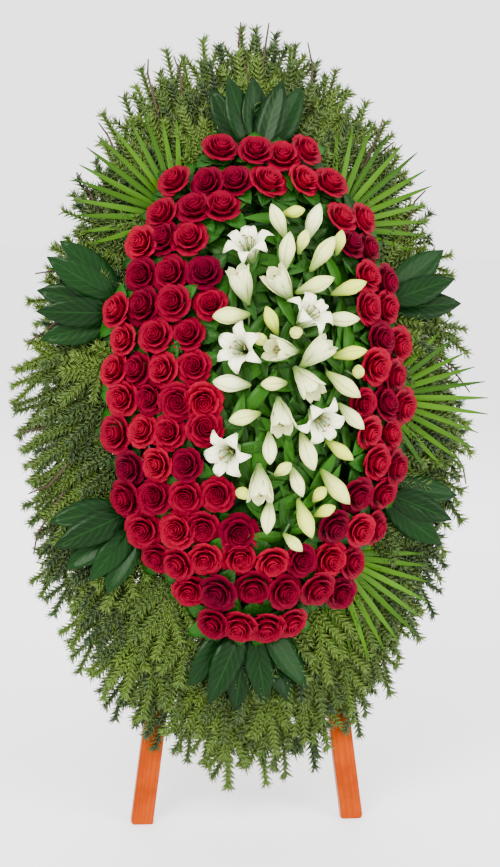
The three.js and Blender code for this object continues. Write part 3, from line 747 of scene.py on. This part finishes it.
def fillersAt(place, leaves, count, below, size):  # leaves lying lower down, that close the gaps
    copies = []
    for i in range(count):
        seed = place["seed"] + 0.31 * i
        turn = fullTurn * chance(seed + 0.05)
        side = Vector((math.cos(turn), math.sin(turn), 0.12 * i))
        root = place["point"] - below * place["outward"] - 20 * side
        facing = place["outward"] + shaken(seed, seed + 0.4, 0.3, 0)
        matrix = lying(root, side, facing, (size * 1.2, size, size))
        # Tones come from the darker half only: painted shade on the leaves lying down in the gaps, on top of
        # their random tone.
        copies.append(copyOf(leaves[i % 2], matrix, i, int(4 * chance(seed + 0.6))))
    return copies


def buildRoses():
    blooms = [makeBloom(opening, 11 + 5 * i) for i, opening in enumerate(rose["openness"])]
    stalk = makeRod(5, 2)
    leaves = [makeLeafShape(1, 44, 14, 2, 5, 0.35, 0.15, 0.7),
              makeLeafShape(1, 52, 16, 2, 5, 0.2, 0.25, 0.7)]
    wreathCentre = easel["wreathCentre"]
    for bunch, members in bunchesOf(roseList).items():
        middle = middleOf(members)
        inward = Vector((0.84 * middle.x, wreathCentre + 0.84 * (middle.y - wreathCentre), middle.z - 78))
        copies = []
        for place in members:
            seed, radius = place["seed"], place["radius"]
            point, outward = place["point"], place["outward"]
            size = radius * (0.86 + 0.16 * chance(seed + 0.2))
            lean = shaken(seed + 0.3, seed + 0.4, rose["lean"], 0)
            axis = (outward + lean).normalized()
            point = point + Vector([scatter(seed + part, rose["wander"]) for part in (0.12, 0.22, 0.32)])
            tone = min(7, int(8 * chance(seed + 0.7) ** 0.8))
            bloom = blooms[int(3 * chance(seed + 0.9))]
            stand = upright(point, axis, fullTurn * chance(seed + 0.6), (size, size, size * 0.98))
            copies.append(copyOf(bloom, stand, None, tone))
            neck = point - 0.8 * radius * axis
            copies.append(rodBetween(stalk, inward, neck, rose["stalk"], 0, 3))
            copies += fillersAt(place, leaves, **rose["fillers"])
            if outward.z < rose["rimFacing"]:  # round the rim of the bed
                copies += fillersAt(place, leaves, **rose["rimFillers"])
            around = openDirections(place, rose["leafReach"], roseList + lilyList, rose["leaves"])
            for i, (side, room) in enumerate(around):
                size = min(1.2, room / (34 if i else 30)) * (0.86 + 0.2 * chance(seed + i))
                rising = side + outward * (0.05 + 0.3 * chance(seed + i + 0.1))
                root = point - (0.8 if i else 0.6) * radius * outward + 5 * side
                copies.append(leafAt(leaves, i, root, rising, outward, size, seed + i + 0.8))
        pickEnd = Vector((inward.x, inward.y, max(inward.z - rose["pickLength"], rose["lowestPick"])))
        copies.append(rodBetween(stalk, pickEnd, inward, rose["stalk"], 0, 3))
        materials = [rosePetalMaterial, roseLeafMaterial, stemMaterial]
        makePiece(f"rose_bunch_{bunch}", gather(copies), materials, [f"roses_{bunch}"])


buildRoses()
print("roses made")


lily = {
    "thickness": 0.9, "pedicel": 2.2, "stem": 4, "pickLength": 90, "below": 58,
    "openWidth": 42, "halfOpen": 0.3, "wideTepal": 16.5, "narrowTepal": 12.5,
    "leafReach": 62, "leaves": 3, "fillers": {"count": 3, "below": 44, "size": 1.35},
    "budHeights": [0, 0.05, 0.2, 0.45, 0.62, 0.8, 0.93, 1],
    "budWidths": [0, 0.26, 0.50, 0.90, 1.0, 0.72, 0.34, 0],
}


def makeBud():  # three outer petals that meet in grooves
    deselectAll()
    bpy.ops.mesh.primitive_uv_sphere_add(segments=30, ring_count=14, radius=1)
    piece = bpy.context.object
    co = readValues(piece.data.vertices, "co", np.float64, 3)
    turn = np.arctan2(co[:, 1], co[:, 0])
    t = 1 - np.arccos(np.clip(co[:, 2], -1, 1)) / math.pi
    profile = np.interp(t, lily["budHeights"], lily["budWidths"])
    third = 2 * math.pi / 3
    fromSeam = np.abs((turn / third) - np.round(turn / third)) * third
    ridge = 0.05 * np.exp(-(((fromSeam - third / 2) / 0.14) ** 2))
    rho = profile * (0.98 - 0.13 * np.exp(-((fromSeam / 0.17) ** 2)) + ridge)
    shaped = np.stack([rho * np.cos(turn), rho * np.sin(turn), t], axis=1)
    piece.data.vertices.foreach_set("co", shaped.ravel())
    return takeMaster(piece, 0)


def makeTepal(halfWidth, opening):
    sheet = addSheet(4, 7)

    def shape(s, t):
        rho = 4 + opening * (lily["openWidth"] - 2) * t ** 1.7 + (1 - opening) * 9 * np.sin(2.4 * t)
        half = halfWidth * np.maximum(np.sin(math.pi * np.clip(t, 0, 1) ** 0.85) ** 0.7, 0.1 + 0.1 * (1 - t))
        spreadOut = 66 * np.sin(1.5 * t ** 0.9) - 16 * smooth(0.72, 1, t)
        z = opening * spreadOut + (1 - opening) * 84 * t
        z = z + 5 * s * s * (1 - t) + 1.6 * np.sin(10 * t) * s * s * t
        return rho + (2 - 6 * (1 - opening)) * s * s, s * half, z

    bend(sheet, shape)
    thicken(sheet, lily["thickness"])
    return takeMaster(sheet, 0)


def makeOpenLily(rod, opening):
    wide, narrow = makeTepal(lily["wideTepal"], opening), makeTepal(lily["narrowTepal"], opening)
    copies = []
    for i in range(6):
        turn = Matrix.Rotation(math.pi / 3 * i, 4, "Z")
        tilt = Matrix.Rotation(0.06 * (i % 2) + scatter(40 + i, 0.05), 4, "Y")
        copies.append(copyOf(narrow if i % 2 else wide, turn @ tilt, i % 2, 0))
    deselectAll()
    bpy.ops.mesh.primitive_uv_sphere_add(segments=8, ring_count=5, radius=1)
    anther = takeMaster(bpy.context.object, 3)
    for i in range(6):
        turn = math.pi / 3 * (i + 0.5)
        foot = Vector((2 * math.cos(turn), 2 * math.sin(turn), 10))
        reach = 4 + 9 * opening
        tip = Vector((reach * math.cos(turn), reach * math.sin(turn), 56 + scatter(60 + i, 3)))
        copies.append(rodBetween(rod, foot, tip, 0.8, 0, 6))
        side = Vector((-math.sin(turn), math.cos(turn), 0.3))
        copies.append(copyOf(anther, upright(tip, side, 0, (1.5, 1.5, 5)), 0, 0))
    copies.append(rodBetween(rod, Vector((0, 0, 8)), Vector((1, 1, 62)), 1.2, 0, 7))
    copies.append(copyOf(anther, upright(Vector((1, 1, 62)), Vector((0, 0, 1)), 0, (3, 3, 2)), 0, 7))
    return gather(copies)


def buildLilies():
    rod = makeRod(6, 2)
    bud, flower, halfOpen = makeBud(), makeOpenLily(rod, 1.0), makeOpenLily(rod, lily["halfOpen"])
    leaves = [makeLeafShape(1, 78, 11, 2, 7, 0.4, 0.12, 0.8, swell=0.38),
              makeLeafShape(1, 96, 13, 2, 7, 0.3, 0.3, 0.8, swell=0.4)]
    for bunch, members in bunchesOf(lilyList).items():
        crown = middleOf(members) - Vector((0, 0, lily["below"]))
        copies = [rodBetween(rod, crown - Vector((0, 0, lily["pickLength"])), crown, lily["stem"], 0, 2)]
        for place in members:
            seed, base, axis, outward = place["seed"], place["base"], place["axis"], place["outward"]
            form = lilyForms[place["kind"]]
            spin = fullTurn * chance(seed + 0.4)
            if place["kind"] == "flower":
                copies.append(copyOf(flower, upright(base, axis, spin), None, 7))
            else:
                grown = 1 if place["kind"] == "small" else 0.72 + 0.3 * chance(seed + 0.15)
                size = (form["radius"] * grown, form["radius"] * grown, form["length"] * grown)
                tone = int((3 if place["kind"] == "small" else 5.5) * chance(seed + 0.2))
                if grown > 0.95 and place["kind"] == "bud":
                    copies.append(copyOf(halfOpen, upright(base, axis, spin), None, 5))
                else:
                    copies.append(copyOf(bud, upright(base, axis, spin, size), 0, tone))
            copies.append(rodBetween(rod, crown, base + 0.06 * form["length"] * axis, lily["pedicel"], 0, 4))
            around = openDirections(place, lily["leafReach"], roseList, lily["leaves"])
            for i, (side, room) in enumerate(around):
                size = min(1, room / 40) * (0.8 + 0.3 * chance(seed + i + 0.9))
                rising = side + outward * (0.02 + 0.3 * chance(seed + i))
                root = place["point"] - 24 * outward + 6 * side
                copies.append(leafAt(leaves, i, root, rising, outward, size, seed + i + 0.9))
            copies += fillersAt(place, leaves, **lily["fillers"])
        materials = [lilyPetalMaterial, lilyLeafMaterial, stemMaterial, pollenMaterial]
        makePiece(f"lily_spray_{bunch}", gather(copies), materials, [f"lily_stem_{bunch}"])


buildLilies()
print("lilies made")


fans = {"trayHalfWidth": 200, "trayHalfHeight": 372, "offset": 30,
        "front": 68.4, "stalk": 3, "inward": 0.72}
palmFans = {"upper_left": (128, 140), "upper_right": (50, 46), "right": (-2, -4), "lower_right": (-50, -48)}
palm = {"blades": 14, "spread": 116, "length": 216, "halfWidth": 5.6, "thickness": 0.8,
        "droop": 16, "climb": 6}
laurelFans = {
    "top": (90, (118, 104, 90, 76, 62)), "upper_left": (160, (138, 152, 168, 182, 196)),
    "lower_left": (212, (190, 204, 218, 232, 244)), "bottom": (268, (232, 247, 262, 278, 293, 306)),
    "lower_right": (-26, (-6, -22, -38)), "upper_right": (22, (6, 22, 38)),
}
laurel = {"length": 146, "halfWidth": 28, "thickness": 1.0, "bare": 40, "stalk": 2.2}


def fanRoot(degrees):
    turn = math.radians(degrees)
    x = (fans["trayHalfWidth"] + fans["offset"]) * math.cos(turn)
    y = bed["y"] + (fans["trayHalfHeight"] + fans["offset"]) * math.sin(turn)
    wreathCentre, share = easel["wreathCentre"], fans["inward"]
    inward = Vector((share * x, wreathCentre + share * (y - wreathCentre), fans["front"] - 16))
    return Vector((x, y, fans["front"])), inward


def outwardFrom(degrees, climb):
    turn = math.radians(degrees)
    return Vector((math.cos(turn), math.sin(turn), math.tan(math.radians(climb))))


def buildPalmFans():
    rod = makeRod(6, 1)
    sheet = addSheet(2, 7)
    bend(sheet, lambda s, t: (
        s * palm["halfWidth"] * np.maximum(np.sin(math.pi * t ** 0.8) ** 0.7, 0.08),
        palm["length"] * t,
        0.55 * palm["halfWidth"] * np.abs(s) - palm["droop"] * t * t,
    ))
    thicken(sheet, palm["thickness"])
    blade = takeMaster(sheet, 0)
    for name, (degrees, heading) in palmFans.items():
        root, inward = fanRoot(degrees)
        copies = [rodBetween(rod, inward, root, fans["stalk"], 0, 3)]
        for i in range(palm["blades"]):
            part = i / (palm["blades"] - 1) - 0.5
            seed = degrees + 3 * i
            turn = heading + palm["spread"] * part
            direction = outwardFrom(turn, palm["climb"] + scatter(seed, 4) - 14 * abs(part))
            size = (1, 1 - 0.25 * (2 * part) ** 2 + scatter(seed + 0.5, 0.04), 1)
            facing = shaken(seed, seed + 0.2, 0.3, 1)
            stand = lying(root, direction, facing, size)
            copies.append(copyOf(blade, stand, i % 3, int(8 * chance(seed + 0.3))))
        makePiece(f"palm_leaf_{name}", gather(copies), [palmMaterial, stemMaterial],
                  [f"palm_fan_{name}"])


def buildLaurelFans():
    rod = makeRod(5, 1)
    length, halfWidth, thickness = laurel["length"], laurel["halfWidth"], laurel["thickness"]
    leaves = [makeLeafShape(0, length, halfWidth, 4, 8, 0.22, 0.06, thickness, 2.0, 0.5),
              makeLeafShape(0, length, halfWidth, 4, 8, 0.10, 0.16, thickness, 2.6, 0.46)]
    for name, (degrees, headings) in laurelFans.items():
        root, inward = fanRoot(degrees)
        copies = [rodBetween(rod, inward, root, fans["stalk"], 0, 3)]
        for i, heading in enumerate(headings):
            seed = degrees + i
            direction = outwardFrom(heading, 2 + 9 * (i % 2) + scatter(seed, 3))
            start = root + direction.normalized() * laurel["bare"]
            copies.append(rodBetween(rod, root, start, laurel["stalk"], 0, 4))
            size = 0.94 + 0.14 * chance(seed + 0.4)
            facing = shaken(seed + 0.1, seed + 0.2, 0.35, 1)
            copies.append(leafAt(leaves, i, start, direction, facing, size, seed + 0.6))
        makePiece(f"laurel_leaves_{name}", gather(copies), [laurelMaterial, stemMaterial],
                  [f"laurel_fan_{name}"])


buildPalmFans()
buildLaurelFans()
print("leaf fans made")


spruceBody = {"halfWidth": 446, "halfHeight": 734, "power": 1.02, "egg": 0.05}
spruce = {"needle": 17.0, "needleWidth": 2.3, "pitch": 1.45, "stem": 1.2, "sideAngle": 30, "sidePitch": 52,
          "endNeedles": 8, "frondLengths": (190, 235), "kinds": 3, "boughs": 12,
          "rolls": (6, 174, -30, 210, 48, 132)}  # how the needles stand round the twig, in degrees
spruceRows = [  # from the back to the front
    {"count": 98, "tip": 0.955, "length": 240, "z": 20},
    {"count": 74, "tip": 0.88, "length": 240, "z": 38},
    {"count": 56, "tip": 0.77, "length": 210, "z": 60},
]
deadTwigs = {"count": 18, "from": -15, "to": 215, "length": 130, "z": 30, "foot": 3.0, "tip": 2.1}
spruceMaterialLook = {"dark": linear(27, 51, 8), "light": linear(82, 110, 18), "tip": linear(110, 132, 36)}


def makeNeedleMaterial():
    look = spruceMaterialLook
    material, tree, shader = startMaterial("spruceNeedle")
    cells = readCells(tree)
    base = mixOf(tree, cells["Tone"], look["dark"], look["light"])
    base = mixOf(tree, spread(tree, cells["Along"], 0.35, 1.0, 0.0, 0.55), base, look["tip"])
    streaks = streaksOf(tree, cells, 3.0, 4.0)
    base = mixOf(tree, spread(tree, streaks, 0.3, 0.75, 0.0, 0.35), base, look["dark"])
    roughness = spread(tree, streaks, 0.2, 0.8, 0.45, 0.65)
    join(tree, shader, base, roughness, bumpOf(tree, streaks, 0.3, 0.0004))
    return material


needleMaterial = makeNeedleMaterial()


def onBody(turn, share):
    c, s = math.cos(turn), math.sin(turn)
    reachAcross = math.copysign(abs(c) ** spruceBody["power"], c) * (1 - spruceBody["egg"] * s)
    reachUp = math.copysign(abs(s) ** spruceBody["power"], s)
    return Vector((spruceBody["halfWidth"] * share * reachAcross,
                   easel["wreathCentre"] + spruceBody["halfHeight"] * share * reachUp, 0))


def twig(points, radius, seed, needle, rod):  # a stem through the points, thick with needles
    copies = []
    run = 0.0

    def addNeedle(root, direction, number):
        length = spruce["needle"] * (0.86 + 0.28 * chance(number + 0.2))
        size = (spruce["needleWidth"], spruce["needleWidth"], length)
        copies.append(copyOf(needle, upright(root, direction, 0, size), 1 + len(copies) % 3, None))

    for start, end in zip(points, points[1:]):
        step = end - start
        copies.append(rodBetween(rod, start, end, radius, 0, 0))
        along = step.normalized()
        side = along.cross(Vector((0, 0, 1))).normalized()
        up = side.cross(along)
        while run < step.length:
            number = seed + 0.37 * len(copies)
            roll = math.radians(spruce["rolls"][len(copies) % len(spruce["rolls"])] + scatter(number, 16))
            outward = side * math.cos(roll) + up * math.sin(roll)
            direction = along * (0.74 + scatter(number + 0.1, 0.2)) + outward
            addNeedle(start + along * run, direction.normalized(), number)
            run += spruce["pitch"]
        run -= step.length
        radius *= 0.86
    for i in range(spruce["endNeedles"]):  # the blunt end
        fan = side * scatter(seed + i, 1.3) + up * scatter(seed + i + 0.5, 0.9)
        addNeedle(points[-1] - along * (i % 5), (along * 0.7 + fan).normalized(), seed + i)
    return copies


def makeFrond(length, seed, needle, rod):  # a flat spray along +Y, with side twigs
    def spine(start, heading, reach, number, steps):
        points = [start]
        for i in range(steps):
            heading += scatter(number + i, 0.05)
            part = (i + 1) / steps
            drop = scatter(number + i + 0.5, 0.05) - 0.06 * part
            step = Vector((math.sin(heading), math.cos(heading), drop))
            points.append(points[-1] + step * reach / steps)
        return points

    main = spine(Vector((0, 0, 0)), 0, length, seed, 4)
    copies = twig(main, spruce["stem"], seed, needle, rod)
    pairs = int(length / spruce["sidePitch"])
    for i in range(pairs):
        part = 0.14 + 0.66 * i / pairs
        for hand in (-1, 1):
            share = part + 0.05 * hand + scatter(seed + i + hand * 0.3, 0.02)
            position = share * 4
            low = min(3, int(position))
            start = main[low].lerp(main[low + 1], position - low)
            heading = hand * math.radians(spruce["sideAngle"] + scatter(seed + i + hand, 7))
            reach = (0.42 * length * (1 - part) + 20) * (0.85 + 0.3 * chance(seed + 2 * i + hand))
            points = spine(start, heading, reach, seed + 31 * i + hand, 2)
            copies += twig(points, spruce["stem"] * 0.7, seed + i * 1.7 + hand, needle, rod)
    return gather(copies)


def growth(turn):  # up at the top, out and drooping at the sides, hanging at the bottom
    radial = (onBody(turn, 1) - onBody(turn, 0)).normalized()
    sag = 0.8 * abs(math.cos(turn)) * float(smooth(0.75, -0.1, math.sin(turn)))
    return Vector((radial.x, radial.y - sag, 0)).normalized()


def buildSpruce():
    rod, bareRod = makeRod(4, 1), makeRod(5, 2, 0.7)
    needle = makeRod(3, 0, 0)
    tips = needle["co"][needle["corners"]]
    needle["uv"] = np.stack([0.5 + 0.4 * tips[:, 0], tips[:, 2]], axis=1)
    lengths, kinds = spruce["frondLengths"], spruce["kinds"]
    fronds = {
        size: [makeFrond(size, 5 + 9 * i + size, needle, rod) for i in range(kinds)] for size in lengths
    }
    print("frond faces", [len(fronds[size][0]["starts"]) for size in lengths])
    boughs = {i: [] for i in range(spruce["boughs"])}

    def boughAt(turn):
        return boughs[int(turn / (2 * math.pi / spruce["boughs"])) % spruce["boughs"]]

    for k, row in enumerate(spruceRows):
        for i in range(row["count"]):
            seed = 1000 * k + i
            turn = 2 * math.pi * (i + 0.5 + scatter(seed, 0.35)) / row["count"]
            tip = onBody(turn, row["tip"] + scatter(seed + 0.2, 0.035))
            along = growth(turn + scatter(seed + 0.15, 0.16))
            length = row["length"] * (1 + scatter(seed + 0.1, 0.1))
            root = tip - along * length
            root.z = row["z"] + scatter(seed + 0.3, 5)
            tip.z = row["z"] + scatter(seed + 0.4, 9) + 4
            size = min(lengths, key=lambda value: abs(value - length))
            scale = length / size
            facing = shaken(seed + 0.5, seed + 0.6, 0.45, 1)
            stand = lying(root, tip - root, facing, (scale, scale, 1))
            boughAt(turn).append(copyOf(fronds[size][i % kinds], stand, None, int(8 * chance(seed + 0.7))))
    for i in range(deadTwigs["count"]):  # bare ends that stick out past the needles
        share = (i + chance(i + 7)) / deadTwigs["count"]
        turn = math.radians(deadTwigs["from"] + (deadTwigs["to"] - deadTwigs["from"]) * share)
        tip = onBody(turn, 0.935 + 0.045 * chance(i + 3) + 0.02 * abs(math.sin(turn)))
        tip.z = deadTwigs["z"] + scatter(i, 16)
        start = tip - growth(turn + scatter(i + 0.2, 0.3)) * deadTwigs["length"]
        start.z = deadTwigs["z"]
        middle = start.lerp(tip, 0.72) + shaken(i + 0.4, i + 0.6, 11, 0)
        boughAt(turn).append(rodBetween(bareRod, start, middle, deadTwigs["foot"], 0, 1))
        boughAt(turn).append(rodBetween(bareRod, middle, tip, deadTwigs["tip"], 1, 1))
    materials = [needleMaterial, barkMaterial, deadTwigMaterial]
    for i, copies in boughs.items():
        number = f"{i + 1:02d}"
        shape = gather(copies)
        makePiece("spruce_branches_" + number, shape, materials, ["spruce_bough_" + number])


buildSpruce()
print("spruce made")


pineLook = {
    "light": linear(158, 60, 3), "dark": linear(112, 30, 1), "roughness": 0.36, "rings": 130.0,
    "bump": 0.25, "bumpHeight": 0.0003, "coat": 0.02, "coatRoughness": 0.25,
    "specular": 0.3, "specularTint": linear(255, 130, 40),
}
steelLook = {"light": linear(154, 156, 160), "dark": linear(113, 116, 119)}
plywoodLook = {"light": linear(155, 130, 92), "dark": linear(139, 109, 71),
               "fibre": linear(113, 85, 53), "rings": 60.0}


def makePine(name, turn):
    look = pineLook
    material, tree, shader = startMaterial(name)
    place = objectPlace(tree, turn)
    grain = useGroup(tree, grainGroup, {"Place": place, "Rings": look["rings"]})
    base = mixOf(tree, mathOf(tree, "MULTIPLY", grain["Rings"], 0.3), look["light"], look["dark"])
    clouds = spread(tree, noiseOf(tree, place, 14.0, 3.0), 0.42, 0.68, 0.0, 0.6)
    base = mixOf(tree, clouds, base, look["dark"])
    base = mixOf(tree, spread(tree, grain["Fibres"], 0.35, 0.7, 0.0, 0.3), base, look["dark"])
    roughness = roughnessOf(tree, grain["Fibres"], look["roughness"], 0.05, 0.15)
    join(tree, shader, base, roughness, bumpOf(tree, grain["Fibres"], look["bump"], look["bumpHeight"]))
    shader.inputs["Coat Weight"].default_value = look["coat"]
    shader.inputs["Coat Roughness"].default_value = look["coatRoughness"]
    shader.inputs["Specular IOR Level"].default_value = look["specular"]
    shader.inputs["Specular Tint"].default_value = look["specularTint"]
    return material


def makeSteel():
    material, tree, shader = startMaterial("zincPlatedSteel")
    place = objectPlace(tree)
    cloud = noiseOf(tree, place, 120.0, 4.0)
    colour = mixOf(tree, spread(tree, cloud, 0.3, 0.7), steelLook["dark"], steelLook["light"])
    roughness = spread(tree, cloud, 0.2, 0.8, 0.28, 0.5)
    join(tree, shader, colour, roughness, bumpOf(tree, noiseOf(tree, place, 900.0), 0.15, 0.0002))
    shader.inputs["Metallic"].default_value = 1
    return material


def makePlywood():
    look = plywoodLook
    material, tree, shader = startMaterial("birchPlywood")
    place = objectPlace(tree, (easel["leanDegrees"], 0, 0))
    grain = useGroup(tree, grainGroup, {"Place": place, "Rings": look["rings"]})
    base = mixOf(tree, mathOf(tree, "MULTIPLY", grain["Rings"], 0.5), look["light"], look["dark"])
    base = mixOf(tree, spread(tree, grain["Fibres"], 0.4, 0.75, 0.0, 0.35), base, look["fibre"])
    roughness = spread(tree, grain["Fibres"], 0.2, 0.8, 0.6, 0.8)
    join(tree, shader, base, roughness, bumpOf(tree, grain["Fibres"], 0.3, 0.0004))
    return material


def makeGrainy(name, dark, light, scale, rough, distance):  # moulded plastic and foam
    material, tree, shader = startMaterial(name)
    grit = noiseOf(tree, objectPlace(tree), scale, 5.0, 0.65)
    colour = mixOf(tree, spread(tree, grit, 0.3, 0.7), dark, light)
    roughness = roughnessOf(tree, grit, rough, 0.08, 0.08)
    join(tree, shader, colour, roughness, bumpOf(tree, grit, 0.5, distance))
    return material


steelMaterial = makeSteel()
finishesByNode = {
    "left_front_leg": makePine("pineLeftLeg", (12, -7.3, 0)),
    "right_front_leg": makePine("pineRightLeg", (12, 7.3, 0)),
    "rear_leg": makePine("pineRearLeg", (-15, 0, 0)),
    "backing_board": makePlywood(),
    "foam_tray": makeGrainy("trayPlastic", linear(19, 41, 26), linear(31, 56, 36), 400.0, 0.5, 0.0002),
    "foam_block": makeGrainy("floralFoam", linear(27, 63, 33), linear(53, 95, 50), 300.0, 0.9, 0.001),
}
pineAcross = makePine("pineAcross", (0, 90, 0))
for name in ("cross_rail", "apex_block", "board_ledge"):
    finishesByNode[name] = pineAcross
for name in ("hinge_bracket", "pivot_bolt", "pivot_nut", "rail_coach_screw_left", "rail_coach_screw_right",
             "apex_coach_screw_left", "apex_coach_screw_right"):
    finishesByNode[name] = steelMaterial
for name, material in finishesByNode.items():
    nodes[name].data.materials.clear()
    nodes[name].data.materials.append(material)
print("easel finished")


studio = {"azimuth": -9, "roll": 2, "distance": 3.3, "height": 1.224, "lens": 46.8,
          "aim": (0.027, 0.0, 0.696), "floor": 40,
          "floorDark": (0.93, 0.93, 0.93, 1), "floorLight": (0.96, 0.96, 0.96, 1), "sky": 2.75}
lights = {
    "keyLight": {"location": (-2.2, -3.2, 3.4), "target": (0, 0, 0.7), "size": 2.2, "power": 264},
    "fillLight": {"location": (2.6, -2.6, 2.0), "target": (0, 0, 0.7), "size": 2.5, "power": 108},
    "backLight": {"location": (0.5, 3.2, 2.8), "target": (0, 0, 0.8), "size": 2.5, "power": 86},
}


def makeFloor():
    deselectAll()
    bpy.ops.mesh.primitive_plane_add(size=studio["floor"])
    floor = bpy.context.object
    floor.name = "studio_floor"
    material, tree, shader = startMaterial("paleFloor")
    cloud = noiseOf(tree, objectPlace(tree), 3.0)
    colour = mixOf(tree, cloud, studio["floorDark"], studio["floorLight"])
    tree.links.new(colour, shader.inputs["Base Color"])
    shader.inputs["Roughness"].default_value = 0.9
    floor.data.materials.append(material)


def addLight(name, location, target, size, power):
    deselectAll()
    bpy.ops.object.light_add(type="AREA", location=location)
    light = bpy.context.object
    light.name = name
    light.data.size = size
    light.data.energy = power
    light.rotation_euler = (Vector(target) - Vector(location)).to_track_quat("-Z", "Y").to_euler()


def setWorld():
    world = bpy.data.worlds.new("studio")
    bpy.context.scene.world = world
    world.use_nodes = True
    background = world.node_tree.nodes["Background"]
    background.inputs["Color"].default_value = (1, 1, 1, 1)
    background.inputs["Strength"].default_value = studio["sky"]


def setCamera():
    turn = math.radians(studio["azimuth"])
    aim = Vector(studio["aim"])
    away = studio["distance"]
    location = Vector((away * math.sin(turn), -away * math.cos(turn), studio["height"]))
    deselectAll()
    bpy.ops.object.camera_add(location=location)
    camera = bpy.context.object
    roll = Matrix.Rotation(math.radians(studio["roll"]), 3, "Z")
    camera.rotation_euler = ((aim - location).to_track_quat("-Z", "Y").to_matrix() @ roll).to_euler()
    camera.data.lens = studio["lens"]
    camera.data.sensor_fit = "VERTICAL"
    bpy.context.scene.camera = camera


makeFloor()
setWorld()
for name, light in lights.items():
    addLight(name, **light)
setCamera()
print("studio set")
